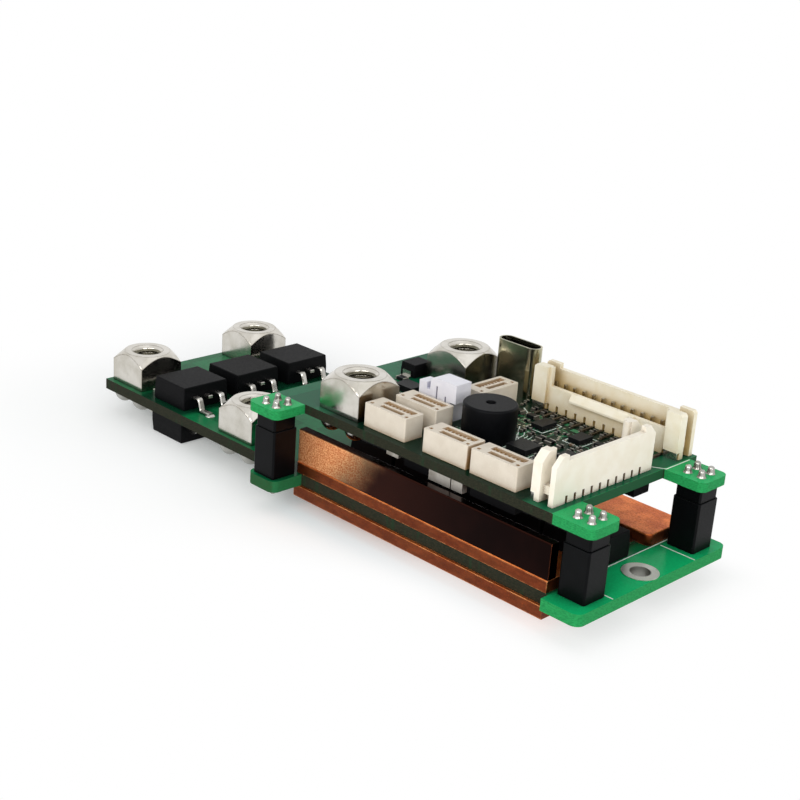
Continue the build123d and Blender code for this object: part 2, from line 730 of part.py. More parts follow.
with BuildPart() as white_connector:
    with Locations((white_body_left, white_front, upper_top)):
        Box(white_body_length, white_depth, white_height, align=(Align.MIN, Align.MIN, Align.MIN))
    fillet(white_connector.faces().sort_by(Axis.Z)[-1].edges().sort_by(Axis.X)[0], white_top_round)
    with Locations((white_left, white_front, upper_top)):
        Box(white_ear_length, white_ear_depth, white_ear_height, align=(Align.MIN, Align.MIN, Align.MIN))
    with Locations((white_body_left, white_front, upper_top + white_ear_height)):
        Box(white_notch, white_ear_depth, white_notch_depth, align=(Align.MAX, Align.MIN, Align.MAX),
            mode=Mode.SUBTRACT)
    with Locations((white_right, white_y, upper_top)):
        Box(white_overhang, white_depth, white_overhang_height, align=(Align.MAX, Align.CENTER, Align.MIN),
            mode=Mode.SUBTRACT)
    with Locations((white_body_left + white_body_length / 2, white_rear, upper_top + white_cavity_top)):
        Box(white_body_length - 2 * white_wall, white_cavity_depth, white_cavity_height,
            align=(Align.CENTER, Align.MAX, Align.MAX), mode=Mode.SUBTRACT)
    # two slits in the front wall
    for slit_x, slit_top in white_slits:
        with Locations((white_body_left + slit_x, white_front, upper_top + white_slit_floor)):
            Box(white_slit, white_wall, slit_top - white_slit_floor, align=(Align.CENTER, Align.MIN, Align.MIN),
                mode=Mode.SUBTRACT)
    add(white_pins.part, mode=Mode.SUBTRACT)
export_piece(white_connector, "white_connector_housing")


# Buzzer: a round case with a sound hole in its top

with BuildPart() as buzzer:
    with Locations((buzzer_x, buzzer_y, upper_top)):
        Cylinder(buzzer_radius, buzzer_height, align=(Align.CENTER, Align.CENTER, Align.MIN))
    chamfer(buzzer.edges().filter_by(GeomType.CIRCLE).sort_by(Axis.Z)[-1], buzzer_edge)
    with Locations((buzzer_x, buzzer_y, upper_top + buzzer_height)):
        Cylinder(buzzer_hole_radius, buzzer_hole_depth, align=(Align.CENTER, Align.CENTER, Align.MAX),
                 mode=Mode.SUBTRACT)
export_piece(buzzer, "buzzer")


# Upright USB receptacle: rounded steel shell, plastic base with the contact tongue

with BuildPart() as usb_shell:
    with BuildSketch(Plane.XY.offset(upper_top)):
        with Locations((usb_x, usb_y)):
            SlotOverall(usb_width, usb_depth)
            SlotOverall(usb_width - 2 * usb_wall, usb_depth - 2 * usb_wall, mode=Mode.SUBTRACT)
    extrude(amount=usb_height)
export_piece(usb_shell, "usb_shell")

with BuildPart() as usb_tongue:
    with BuildSketch(Plane.XY.offset(upper_top)):
        with Locations((usb_x, usb_y)):
            SlotOverall(usb_width - 2 * usb_wall, usb_depth - 2 * usb_wall)
    extrude(amount=usb_base_height)
    with Locations((usb_x, usb_y, upper_top + usb_base_height)):
        Box(usb_tongue_width, usb_tongue_thickness, usb_tongue_top - usb_base_height,
            align=(Align.CENTER, Align.CENTER, Align.MIN))
export_piece(usb_tongue, "usb_tongue")


# Diode: moulded body with a lead at each end

with BuildPart() as diode_body:
    with BuildSketch(Plane.XY.offset(upper_top)):
        with Locations((diode_x, diode_y)):
            Rectangle(diode_width, diode_length)
    extrude(amount=diode_height / 2)
    with BuildSketch(Plane.XY.offset(upper_top + diode_height / 2)):
        with Locations((diode_x, diode_y)):
            Rectangle(diode_width, diode_length)
    extrude(amount=diode_height / 2, taper=5)
export_piece(diode_body, "diode_body")

with BuildPart() as diode_leads:
    for side in (-1, 1):
        face_y = diode_y + side * diode_length / 2
        with Locations((diode_x, face_y + side * diode_lead_thickness / 2, upper_top)):
            Box(diode_lead_width, diode_lead_thickness, diode_lead_rise,
                align=(Align.CENTER, Align.CENTER, Align.MIN))
        with Locations((diode_x, face_y + side * diode_foot / 2, upper_top)):
            Box(diode_lead_width, diode_foot, diode_lead_thickness,
                align=(Align.CENTER, Align.CENTER, Align.MIN))
export_piece(diode_leads, "diode_leads")


# Chips, small parts and the parts under the upper board

with BuildPart() as control_chips:
    for chip_x, chip_y, size_x, size_y, rise in chip_places:
        with Locations((chip_x, chip_y, upper_top)):
            Box(size_x, size_y, rise, align=(Align.CENTER, Align.CENTER, Align.MIN))
export_piece(control_chips, "control_chips")

with BuildPart() as small_parts:
    for row_x, row_y, count, pitch in small_part_rows:
        with Locations(*[(row_x + i * pitch, row_y, upper_top) for i in range(count)]):
            Box(small_width, small_length, small_height, align=(Align.CENTER, Align.CENTER, Align.MIN))
export_piece(small_parts, "small_chip_parts")

with BuildPart() as under_ends:
    for part_x, part_y, size_x, size_y, drop in under_metal:
        with Locations((part_x, part_y, upper_bottom)):
            Box(size_x, size_y, drop, align=(Align.CENTER, Align.CENTER, Align.MAX))
export_piece(under_ends, "underside_part_terminals")

with BuildPart() as under_bodies:
    for part_x, part_y, size_x, size_y, drop in under_black:
        with Locations((part_x, part_y, upper_bottom)):
            Box(size_x, size_y, drop, align=(Align.CENTER, Align.CENTER, Align.MAX))
export_piece(under_bodies, "underside_part_bodies")
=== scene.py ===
import math
import random

import bmesh
import bpy
from mathutils import Matrix, Vector


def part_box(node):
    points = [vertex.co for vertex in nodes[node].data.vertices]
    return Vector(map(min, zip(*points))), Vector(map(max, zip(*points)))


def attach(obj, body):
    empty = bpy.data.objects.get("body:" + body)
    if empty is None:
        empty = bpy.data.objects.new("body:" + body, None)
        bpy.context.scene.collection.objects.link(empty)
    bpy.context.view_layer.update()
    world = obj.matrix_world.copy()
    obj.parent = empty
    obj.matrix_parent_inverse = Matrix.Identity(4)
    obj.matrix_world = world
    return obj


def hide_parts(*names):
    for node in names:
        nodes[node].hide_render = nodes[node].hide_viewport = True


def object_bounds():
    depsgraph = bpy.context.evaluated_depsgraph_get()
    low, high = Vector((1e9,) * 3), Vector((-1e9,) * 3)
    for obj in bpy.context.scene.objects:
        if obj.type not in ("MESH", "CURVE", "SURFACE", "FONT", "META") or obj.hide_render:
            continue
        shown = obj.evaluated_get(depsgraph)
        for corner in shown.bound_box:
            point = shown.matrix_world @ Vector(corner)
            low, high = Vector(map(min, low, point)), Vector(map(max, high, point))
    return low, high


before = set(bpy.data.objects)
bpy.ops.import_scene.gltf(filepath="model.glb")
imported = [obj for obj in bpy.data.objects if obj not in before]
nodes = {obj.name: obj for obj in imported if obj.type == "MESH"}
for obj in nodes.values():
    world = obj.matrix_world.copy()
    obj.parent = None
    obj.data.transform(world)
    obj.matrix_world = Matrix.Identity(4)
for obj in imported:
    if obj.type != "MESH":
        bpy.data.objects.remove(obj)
cad_low, cad_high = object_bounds()

MM = 0.001
rng = random.Random(4207)

# Levels and half widths of the two boards, and where their bright ends without copper begin

upper_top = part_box("upper_board")[1].z
lower_bottom, lower_top = (corner.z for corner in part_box("lower_board"))
lower_half = 19.25 * MM
upper_half = 18.9 * MM
strip_from = 52.5 * MM
tab_from = 51.25 * MM


def centre_of(name):
    low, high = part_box(name)
    return (low + high) / 2


# Shader tools

WHITE = (1.0, 1.0, 1.0, 1.0)


def srgb(red, green, blue):
    """An 8-bit screen colour as the linear colour that a shader takes."""
    return tuple(
        v / 12.92 if v <= 0.04045 else ((v + 0.055) / 1.055) ** 2.4
        for v in (red / 255, green / 255, blue / 255)
    ) + (1.0,)


def feed(tree, socket, value):
    """Links a socket to another node's output, or sets it to a plain value."""
    if isinstance(value, bpy.types.NodeSocket):
        tree.links.new(value, socket)
    elif value is not None:
        socket.default_value = value


def add_node(tree, kind, *inputs, **settings):
    """A shader node with its inputs given in order; None leaves an input as it is."""
    made = tree.nodes.new(kind)
    for key, value in settings.items():
        setattr(made, key, value)
    for socket, value in zip(made.inputs, inputs):
        feed(tree, socket, value)
    return made


def seen_directly(tree):
    """1 for camera rays and for those that meet the surface by reflection or through something clear."""
    rays = tree.nodes.new("ShaderNodeLightPath")
    seen = rays.outputs["Is Camera Ray"]
    for kind in ("Is Glossy Ray", "Is Transmission Ray"):
        seen = add_node(tree, "ShaderNodeMath", seen, rays.outputs[kind], operation="MAXIMUM").outputs[0]
    return seen


# Camera, fitted to the photograph

camera_right = Vector((0.70496939, 0.70597375, 0.06796483))
camera_down = Vector((0.29118783, -0.2007244, -0.93537124))
camera_forward = Vector((-0.64670535, 0.67919863, -0.34707552))
camera_place = Vector((0.16624849, -0.17286385, 0.10513094))
lens, sensor = 65.5446, 36.0
nearest, farthest = 0.01, 20.0

camera_data = bpy.data.cameras.new("camera")
camera_data.lens = lens
camera_data.sensor_width = sensor
camera_data.clip_start = nearest
camera_data.clip_end = farthest
camera = bpy.data.objects.new("camera", camera_data)
turn = Matrix((camera_right, -camera_down, -camera_forward)).transposed()
camera.matrix_world = Matrix.Translation(camera_place) @ turn.to_4x4()
bpy.context.scene.collection.objects.link(camera)
bpy.context.scene.camera = camera
bpy.context.scene.view_settings.view_transform = "Standard"


# Light: a moderate even sky, large soft lamps in front and at the connector end, and a weaker one above

sky_strength = 0.58
sky_colour = (0.98, 0.99, 1.0, 1.0)
lamp_aim = Vector((0, 0, 0.01))
warm, cool = (1.0, 0.99, 0.97), (0.98, 0.99, 1.0)


def add_lamp(name, place, size, power, colour):
    lamp = bpy.data.lights.new(name, "AREA")
    lamp.shape = "RECTANGLE"
    lamp.size, lamp.size_y = size
    lamp.energy = power
    lamp.color = colour
    obj = bpy.data.objects.new(name, lamp)
    obj.location = place
    obj.rotation_mode = "QUATERNION"
    obj.rotation_quaternion = (lamp_aim - Vector(place)).to_track_quat("-Z", "Y")
    bpy.context.scene.collection.objects.link(obj)


add_lamp("front_lamp", place=(0.14, -0.50, 0.28), size=(0.45, 0.30), power=1.45, colour=warm)
add_lamp("side_lamp", place=(0.55, -0.22, 0.22), size=(0.35, 0.30), power=0.9, colour=warm)
add_lamp("top_lamp", place=(0.10, 0.05, 0.60), size=(0.50, 0.50), power=0.15, colour=cool)

world = bpy.data.worlds.new("studio")
world.use_nodes = True
bpy.context.scene.world = world
world_tree = world.node_tree
world_tree.nodes.clear()
sky = add_node(world_tree, "ShaderNodeBackground", sky_colour, sky_strength)
backdrop = add_node(world_tree, "ShaderNodeBackground", WHITE, 1.0)
world_mix = add_node(world_tree, "ShaderNodeMixShader", seen_directly(world_tree), sky.outputs[0],
                     backdrop.outputs[0])
add_node(world_tree, "ShaderNodeOutputWorld", world_mix.outputs[0])


# Materials: patterns are in object metres, and sizes given to a finish are in metres

class Finish:
    """One node material round a Principled shader."""

    def __init__(self, name, roughness=0.5, metallic=0.0, specular=0.5):
        self.material = bpy.data.materials.new(name)
        self.material.use_nodes = True
        self.tree = self.material.node_tree
        self.shader = self.tree.nodes["Principled BSDF"]
        self.shader.inputs["Roughness"].default_value = roughness
        self.shader.inputs["Metallic"].default_value = metallic
        self.shader.inputs["Specular IOR Level"].default_value = specular
        self.place = self.tree.nodes.new("ShaderNodeTexCoord").outputs["Object"]
        self.split = self.node("ShaderNodeSeparateXYZ", self.place)

    def node(self, kind, *inputs, **settings):
        return add_node(self.tree, kind, *inputs, **settings)

    def geometry(self, output):
        return self.tree.nodes.new("ShaderNodeNewGeometry").outputs[output]

    def axis(self, letter):
        """The place along an axis."""
        return self.split.outputs[letter.upper()]

    def facing(self, letter):
        """The normal's part along an axis, from -1 to 1."""
        return self.node("ShaderNodeSeparateXYZ", self.geometry("True Normal")).outputs[letter.upper()]

    def math(self, operation, first, second=0.0):
        return self.node("ShaderNodeMath", first, second, operation=operation).outputs[0]

    def vector(self, operation, first, second=None):
        return self.node("ShaderNodeVectorMath", first, second, operation=operation)

    def both(self, first, second):
        """The product: where two shares are both high, or a value scaled."""
        return self.math("MULTIPLY", first, second)

    def span(self, value, low, high, start=0.0, end=1.0):
        """value, read from low to high, as a smooth step from start to end."""
        return self.node("ShaderNodeMapRange", value, low, high, start, end,
                         interpolation_type="SMOOTHSTEP").outputs["Result"]

    def noise(self, size, detail=3.0, roughness=0.5, stretch=(1.0, 1.0, 1.0), place=None):
        made = self.node("ShaderNodeTexNoise")
        place = place or self.node("ShaderNodeMapping", self.place, None, None, stretch).outputs[0]
        for socket, value in (("Vector", place), ("Scale", 1.0 / size), ("Detail", detail),
                              ("Roughness", roughness)):
            feed(self.tree, made.inputs[socket], value)
        return made.outputs["Fac"]

    def snapped(self, step):
        """The place, held constant over square cells of that step."""
        return self.vector("SNAP", self.place, (step, step, 1.0)).outputs["Vector"]

    def edge(self, radius, sharp=0.90, flat=0.995):
        """1 along the piece's sharp edges and 0 on its flats."""
        rounded = self.node("ShaderNodeBevel", radius, samples=4).outputs[0]
        turned = self.vector("DOT_PRODUCT", rounded, self.geometry("Normal")).outputs["Value"]
        return self.span(turned, sharp, flat, 1.0, 0.0)

    def recess(self, reach):
        """1 deep in corners and openings and 0 in the open: where the finishes paint shade."""
        made = self.node("ShaderNodeAmbientOcclusion", samples=4)
        made.inputs["Distance"].default_value = reach
        return self.span(made.outputs["AO"], 0.25, 0.85, 1.0, 0.0)

    def bore(self, middle, radius, share, fade=0.12 * MM):
        """share within that radius of an upright axis, and 0 just outside it."""
        offset = self.vector("SUBTRACT", self.place, middle).outputs[0]
        level = self.vector("MULTIPLY", offset, (1, 1, 0)).outputs[0]
        away = self.vector("LENGTH", level).outputs["Value"]
        return self.node("ShaderNodeMapRange", away, radius, radius + fade, share, 0.0).outputs["Result"]

    def mix(self, share, first, second):
        made = self.node("ShaderNodeMix", data_type="RGBA")
        for index, value in ((0, share), (6, first), (7, second)):
            feed(self.tree, made.inputs[index], value)
        return made.outputs[2]

    def colour(self, value):
        feed(self.tree, self.shader.inputs["Base Color"], value)

    def rough(self, value):
        feed(self.tree, self.shader.inputs["Roughness"], value)

    def bump(self, height, distance, strength=1.0):
        made = self.node("ShaderNodeBump")
        for socket, value in (("Height", height), ("Distance", distance), ("Strength", strength)):
            feed(self.tree, made.inputs[socket], value)
        feed(self.tree, self.shader.inputs["Normal"], made.outputs["Normal"])


def board_finish(name, pour, gap, dark_tone, dark_spans, bright, bright_from, half_width, ear, clear_from):
    """Solder mask over copper areas, dark sawn sides, and a bright end without copper that has clear sides.

    The mask takes a darker tone in the spans given along X, and painted shade in recesses; the sides facing
    +X get painted light, a lighter green; ear says how bright the lugs beyond half_width look.
    """
    made = Finish(name, roughness=0.3, specular=0.06)
    pour_size, pour_step = 9.0 * MM, 3.2 * MM
    line_size, line_step = 1.5 * MM, 0.45 * MM
    end_step = 0.1 * MM
    pours = made.span(made.noise(pour_size, detail=0.0, place=made.snapped(pour_step)), 0.47, 0.49)
    lines = made.span(made.noise(line_size, detail=0.0, place=made.snapped(line_step)), 0.56, 0.58)
    grain = made.noise(0.3 * MM, detail=2.0)
    outside = made.span(made.math("ABSOLUTE", made.axis("y")), half_width, half_width + 0.3 * MM, 0.0, ear)
    at_end = made.span(made.axis("x"), bright_from - end_step, bright_from + end_step)

    mask = made.mix(pours, gap, pour)
    mask = made.mix(made.both(lines, 0.35), mask, gap)
    # The darker tone in the given spans: painted shade on the lower board, a darker mask between the parts on
    # the control board.
    for start, end in dark_spans:
        inside = made.both(made.span(made.axis("x"), start, start + 3 * MM),
                           made.span(made.axis("x"), end - 2 * MM, end, 1.0, 0.0))
        mask = made.mix(made.both(inside, 0.93), mask, dark_tone)
    mask = made.mix(made.math("MAXIMUM", at_end, outside), mask, bright)
    # Painted shade: the mask is darkened in recesses, under and between parts.
    mask = made.mix(made.both(made.recess(9 * MM), 0.8), mask, srgb(6, 34, 22))
    mask = made.mix(made.span(grain, 0.3, 0.75, 0.0, 0.16), mask, srgb(14, 74, 46))

    rim = made.noise(0.45 * MM, detail=3.0, stretch=(1.0, 1.0, 3.0))
    streaks = made.span(made.noise(1.4 * MM, stretch=(1.0, 1.0, 0.2)), 0.55, 0.75, 0.0, 0.5)
    side = made.mix(made.span(rim, 0.35, 0.75), srgb(34, 38, 28), srgb(52, 50, 38))
    side = made.mix(streaks, side, srgb(28, 62, 40))
    # Painted light: the sides facing +X are painted a lighter green, as if lit from that side.
    side = made.mix(made.span(made.facing("x"), 0.5, 0.8, 0.0, 0.8), side, srgb(38, 92, 60))
    clear = made.mix(made.span(rim, 0.3, 0.8), srgb(44, 158, 88), srgb(28, 122, 68))
    clear_end = made.span(made.axis("x"), clear_from - end_step, clear_from + end_step)
    side = made.mix(made.math("MAXIMUM", clear_end, outside), side, clear)

    flat = made.span(made.math("ABSOLUTE", made.facing("z")), 0.5, 0.7)
    made.colour(made.mix(flat, side, mask))
    made.rough(made.span(flat, 0.0, 1.0, 0.55, 0.25))
    made.bump(made.math("ADD", made.both(pours, 0.7), made.both(grain, 0.25)), 0.03 * MM)
    return made.material


def rail_finish(name, bright_to, dark_from):
    """Rolled copper rail: clean speckled orange at its left end, then a smooth, very dark brown painted
    reflection of the dark parts above it, with painted shade on its top face.
    """
    made = Finish(name, roughness=0.3, metallic=1.0, specular=0.3)
    speck = made.noise(0.22 * MM, detail=3.0, roughness=0.6)
    cloud = made.noise(5.0 * MM, detail=3.0, roughness=0.5)
    clean = made.mix(made.span(speck, 0.36, 0.62), srgb(255, 202, 146), srgb(214, 124, 74))
    clean = made.mix(made.span(cloud, 0.52, 0.72, 0.0, 0.5), clean, srgb(255, 214, 160))
    cloud_drift, slant = 7 * MM, -0.9
    drift = made.math("ADD", made.both(cloud, cloud_drift), made.both(made.axis("z"), slant))
    # Painted reflection: past bright_to the rail turns the very dark brown that it mirrors of the parts above
    # it.
    dark_reflection = made.span(made.math("ADD", made.axis("x"), drift), bright_to, dark_from)
    deep = made.mix(made.span(made.axis("x"), 14 * MM, 40 * MM), srgb(46, 21, 15), srgb(20, 9, 8))
    deep = made.mix(made.span(cloud, 0.4, 0.7, 0.0, 0.4), deep, srgb(34, 15, 12))
    tint = made.mix(dark_reflection, clean, deep)
    # Painted shade: the rail's top face is darker.
    tint = made.mix(made.span(made.facing("z"), 0.4, 0.8), tint, srgb(48, 24, 18))
    made.colour(made.mix(made.both(made.edge(0.08 * MM), 0.7), tint, srgb(196, 108, 66)))
    made.rough(made.span(dark_reflection, 0.0, 1.0, 0.62, 0.2))
    made.bump(made.both(speck, made.span(dark_reflection, 0.0, 1.0, 1.0, 0.15)), 0.05 * MM, 0.8)
    return made.material


def bar_finish(name, bright, deep, dark, scale):
    """Sheared copper bar: grained orange faces, dark scaled sides and bright nicks along its edges."""
    made = Finish(name, roughness=0.42, metallic=1.0)
    blotch = made.noise(3.0 * MM, detail=4.0, roughness=0.6)
    speck = made.noise(0.3 * MM, detail=4.0, roughness=0.65)
    dent = made.noise(1.3 * MM, detail=5.0, roughness=0.65, stretch=(0.6, 1.0, 1.4))
    worn = made.span(made.noise(1.6 * MM, detail=4.0), 0.40, 0.58, 0.12, 1.0)
    tint = made.mix(made.span(blotch, 0.35, 0.65), bright, deep)
    tint = made.mix(made.span(speck, 0.5, 0.72, 0.0, 0.7), tint, dark)
    crust = made.mix(made.span(dent, 0.35, 0.75, 0.1, 0.6), scale, dark)
    crust = made.mix(made.span(speck, 0.58, 0.72, 0.0, 0.5), crust, deep)
    side = made.span(made.math("ABSOLUTE", made.facing("z")), 0.3, 0.6, 0.9, 0.0)
    tint = made.mix(side, tint, crust)
    nick = made.both(made.edge(0.3 * MM), worn)
    made.colour(made.mix(made.both(nick, 0.9), tint, srgb(248, 176, 116)))
    made.rough(made.span(speck, 0.3, 0.75, 0.38, 0.62))
    made.bump(made.math("ADD", dent, speck), 0.07 * MM, 0.9)
    return made.material


def tin_finish(name, clean, dull, line, roughness, cloudy=0.5, scratch=0.3, line_width=0.09 * MM,
               line_sharp=(0.90, 0.995), deep=None, deep_reach=3.2 * MM, bore=None):
    """Tin or nickel plate: faint clouding, fine scratches, worn edges, and painted shade in recesses and in a
    bore.
    """
    made = Finish(name, roughness=roughness, metallic=1.0)
    cloud = made.noise(3.2 * MM, detail=3.0)
    scratches = made.noise(0.18 * MM, detail=4.0, roughness=0.7, stretch=(1.0, 1.0, 0.25))
    tint = made.mix(made.span(cloud, 0.35, 0.7, 0.0, cloudy), clean, dull)
    tint = made.mix(made.span(scratches, 0.58, 0.78, 0.0, scratch), tint, dull)
    if deep:
        # Painted shade in the recesses.
        tint = made.mix(made.recess(deep_reach), tint, deep)
    # The edge line: wear on most finishes, a painted highlight on the shaded lead and thread finishes.
    tint = made.mix(made.both(made.edge(line_width, *line_sharp), 0.75), tint, line)
    if bore:
        # Painted shade: the bore is darkened.
        tint = made.mix(made.bore(*bore), tint, srgb(40, 44, 34))
    made.colour(tint)
    made.rough(made.span(cloud, 0.3, 0.75, roughness - 0.04, roughness + 0.08))
    made.bump(made.math("ADD", made.both(scratches, 0.5), cloud), 0.02 * MM, 0.5)
    return made.material


def plastic_finish(name, tone, shade, roughness, specular=0.5, wear=None, deep=None, deep_reach=2.2 * MM):
    """Moulded plastic: slight clouding, a fine eroded skin, worn edges and painted shade in its recesses."""
    made = Finish(name, roughness=roughness, specular=specular)
    cloud = made.noise(2.2 * MM, detail=3.0)
    skin = made.noise(0.16 * MM, detail=2.0)
    tint = made.mix(made.span(cloud, 0.3, 0.72), tone, shade)
    tint = made.mix(made.span(skin, 0.58, 0.8, 0.0, 0.3), tint, wear or shade)
    # Painted shade in the recesses.
    if deep:
        tint = made.mix(made.recess(deep_reach), tint, deep)
    if wear:
        tint = made.mix(made.both(made.edge(0.1 * MM), 0.6), tint, wear)
    made.colour(tint)
    made.rough(made.span(skin, 0.3, 0.7, roughness - 0.06, roughness + 0.1))
    made.bump(skin, 0.02 * MM, 0.5)
    return made.material


# On the lower board both darker spans are painted shade, under the left transistors and under the control
# board; the control board's span is its darker mask between the parts.
board_lower = board_finish(
    "board_lower", pour=srgb(22, 122, 72), gap=srgb(15, 106, 62), dark_tone=srgb(8, 52, 34),
    dark_spans=((-50 * MM, -34 * MM), (-8 * MM, 51 * MM)),
    bright=srgb(22, 186, 112), bright_from=strip_from,
    half_width=lower_half, ear=0.25, clear_from=strip_from)
board_upper = board_finish(
    "board_upper", pour=srgb(18, 106, 70), gap=srgb(12, 90, 60), dark_tone=srgb(8, 20, 17),
    dark_spans=((2 * MM, 47 * MM),), bright=srgb(34, 184, 104), bright_from=tab_from,
    half_width=upper_half, ear=1.0, clear_from=tab_from + 0.25 * MM)

copper_rail = rail_finish("copper_rail", bright_to=-4 * MM, dark_from=10 * MM)
copper_bar = bar_finish("copper_bar", bright=srgb(240, 140, 74), deep=srgb(206, 106, 52),
                        dark=srgb(138, 66, 38), scale=srgb(74, 32, 22))

# The ring's bore gets painted shade: darkened out to this radius, by this share.
ring_bore_radius, ring_bore_share = 1.62 * MM, 0.65
# Painted shade in the terminals' recesses; their dark edge lines are wear.
tin_terminal = tin_finish(
    "tin_terminal", srgb(214, 210, 202), srgb(190, 185, 173), srgb(84, 72, 54), 0.17, cloudy=0.7, scratch=0.5,
    line_width=0.26 * MM, line_sharp=(0.975, 0.9995), deep=srgb(60, 54, 40), deep_reach=2.0 * MM)
# Painted shade: the thread is a darker copy of the terminal tin, as the shade inside the bore, with light
# crests as painted highlights.
tin_thread_shaded = tin_finish(
    "tin_thread_shaded", srgb(120, 116, 100), srgb(66, 62, 50), srgb(220, 214, 198), 0.24, cloudy=0.9, scratch=0.5,
    line_width=0.06 * MM, deep=srgb(28, 24, 16), deep_reach=2.4 * MM)
# Painted shade in the ring's recesses and its bore.
tin_ring = tin_finish(
    "tin_ring", srgb(244, 243, 236), srgb(206, 206, 194), srgb(250, 248, 242), 0.38,
    deep=srgb(30, 34, 26), deep_reach=2.2 * MM,
    bore=(centre_of("mounting_hole_ring"), ring_bore_radius, ring_bore_share))
tin_lead = tin_finish("tin_lead", srgb(196, 194, 188), srgb(150, 147, 140), srgb(150, 146, 138), 0.24)
# Painted shade in the solder's recesses.
solder_metal = tin_finish(
    "solder_metal", srgb(190, 189, 184), srgb(146, 145, 139), srgb(140, 139, 134), 0.22, cloudy=0.8,
    scratch=0.1, deep=srgb(104, 100, 90))
dark_steel = tin_finish(
    "dark_steel", srgb(190, 184, 156), srgb(124, 126, 104), srgb(214, 208, 190), 0.16, cloudy=0.9)
contact_gold = tin_finish("contact_gold", srgb(214, 184, 128), srgb(170, 140, 92), srgb(240, 214, 160), 0.28)
# Painted shade and highlights: tin header leads painted dark brown as shade, with light edge lines as
# highlights.
lead_shaded = tin_finish(
    "lead_shaded", srgb(92, 80, 66), srgb(40, 32, 26), srgb(176, 168, 154), 0.34, cloudy=0.9)
part_end = tin_finish(
    "part_end", srgb(152, 148, 140), srgb(98, 94, 86), srgb(196, 192, 184), 0.45, cloudy=0.9)
under_end = tin_finish(
    "under_end", srgb(206, 202, 194), srgb(150, 142, 130), srgb(224, 222, 216), 0.5, cloudy=0.9)

black_package = plastic_finish(
    "black_package", srgb(9, 9, 11), srgb(6, 6, 8), 0.5, specular=0.08, wear=srgb(30, 31, 34))
black_pillar = plastic_finish(
    "black_pillar", srgb(7, 8, 10), srgb(5, 6, 7), 0.34, specular=0.08, wear=srgb(30, 32, 35))
black_buzzer = plastic_finish(
    "black_buzzer", srgb(9, 10, 13), srgb(6, 7, 9), 0.42, specular=0.08, wear=srgb(34, 36, 40))
# The deep tones of the cream and white plastics are painted shade in their slots, notches and cavities, out
# to 6 mm on the rear header.
cream_plastic = plastic_finish(
    "cream_plastic", srgb(224, 214, 198), srgb(216, 205, 188), 0.42, specular=0.3, wear=srgb(255, 250, 242),
    deep=srgb(154, 116, 66))
cream_header = plastic_finish(
    "cream_header", srgb(251, 244, 224), srgb(245, 235, 208), 0.42, specular=0.3, wear=srgb(255, 250, 238),
    deep=srgb(186, 158, 100), deep_reach=6.0 * MM)
cream_side = plastic_finish(
    "cream_side", srgb(252, 245, 230), srgb(247, 238, 220), 0.42, specular=0.3, wear=srgb(255, 250, 243),
    deep=srgb(104, 78, 46), deep_reach=1.3 * MM)
white_plastic = plastic_finish(
    "white_plastic", srgb(240, 239, 246), srgb(232, 231, 240), 0.36, specular=0.3, wear=srgb(242, 242, 246),
    deep=srgb(190, 190, 206), deep_reach=1.2 * MM)
silk_white = plastic_finish("silk_white", srgb(236, 246, 238), srgb(206, 224, 212), 0.55)
trace_green = plastic_finish("trace_green", srgb(26, 128, 78), srgb(20, 98, 62), 0.3)
part_tan = plastic_finish("part_tan", srgb(112, 88, 64), srgb(84, 66, 48), 0.45)
part_grey = plastic_finish(
    "part_grey", srgb(20, 21, 23), srgb(13, 14, 16), 0.4, specular=0.12, wear=srgb(60, 62, 64))

finish_of = {
    "lower_board": board_lower,
    "upper_board": board_upper,
    "front_copper_rail": copper_rail,
    "mounting_hole_ring": tin_ring,
    "pillar_pins": solder_metal,
    "socket_tails": solder_metal,
    "terminal_solder": solder_metal,
    "diode_leads": tin_lead,
    "underside_part_terminals": under_end,
    "usb_shell": dark_steel,
    "buzzer": black_buzzer,
    "small_connector_contacts": contact_gold,
    "white_connector_housing": white_plastic,
    "white_connector_pins": tin_lead,
    "rear_header_pins": tin_lead,
    "side_header_pins": tin_lead,
    "rear_header_solder_tabs": tin_lead,
    "side_header_solder_tabs": tin_lead,
    "rear_header_housing": cream_header,
    "side_header_housing": cream_side,
    "control_chips": part_grey,
}
terminal_starts = ("power_terminal_", "control_terminal_")


def finish_for(name):
    """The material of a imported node: its own one, or that of its kind."""
    if name in finish_of:
        return finish_of[name]
    if "copper" in name:
        return copper_bar
    if name.startswith(terminal_starts):
        return tin_terminal
    if "transistor" in name and "metal" in name:
        return tin_lead
    if name.startswith("small_connector"):
        return cream_plastic
    if name.startswith("pillar"):
        return black_pillar
    return black_package


for name, obj in nodes.items():
    obj.data.materials.clear()
    obj.data.materials.append(finish_for(name))


# Floor: plain and pale with the shadow close to the object, pure white farther out, and clear from below

floor_half = 2.4
floor_level = -0.05 * MM
floor_tones = ((0.88, 0.88, 0.88, 1), (0.92, 0.92, 0.92, 1))
floor_cloud = 40 * MM
lift_colour, lift_strength = (0.96, 1.0, 0.99, 1.0), 0.2
# Painted shadow on the floor beside the copper bars, tinted to take out their orange.
under_bars_shadow_tint = (0.68, 0.80, 0.84, 1)
under_bars_front = (-lower_half - 8 * MM, -lower_half - 1 * MM)
under_bars_left, under_bars_right = (-10 * MM, 0.0), (38 * MM, 50 * MM)
shade_left, shade_right = -30 * MM, 35 * MM
shade_reach_left, shade_reach_right = 42 * MM, 8 * MM
shade_start_left, shade_start_right = 0.0, -9 * MM


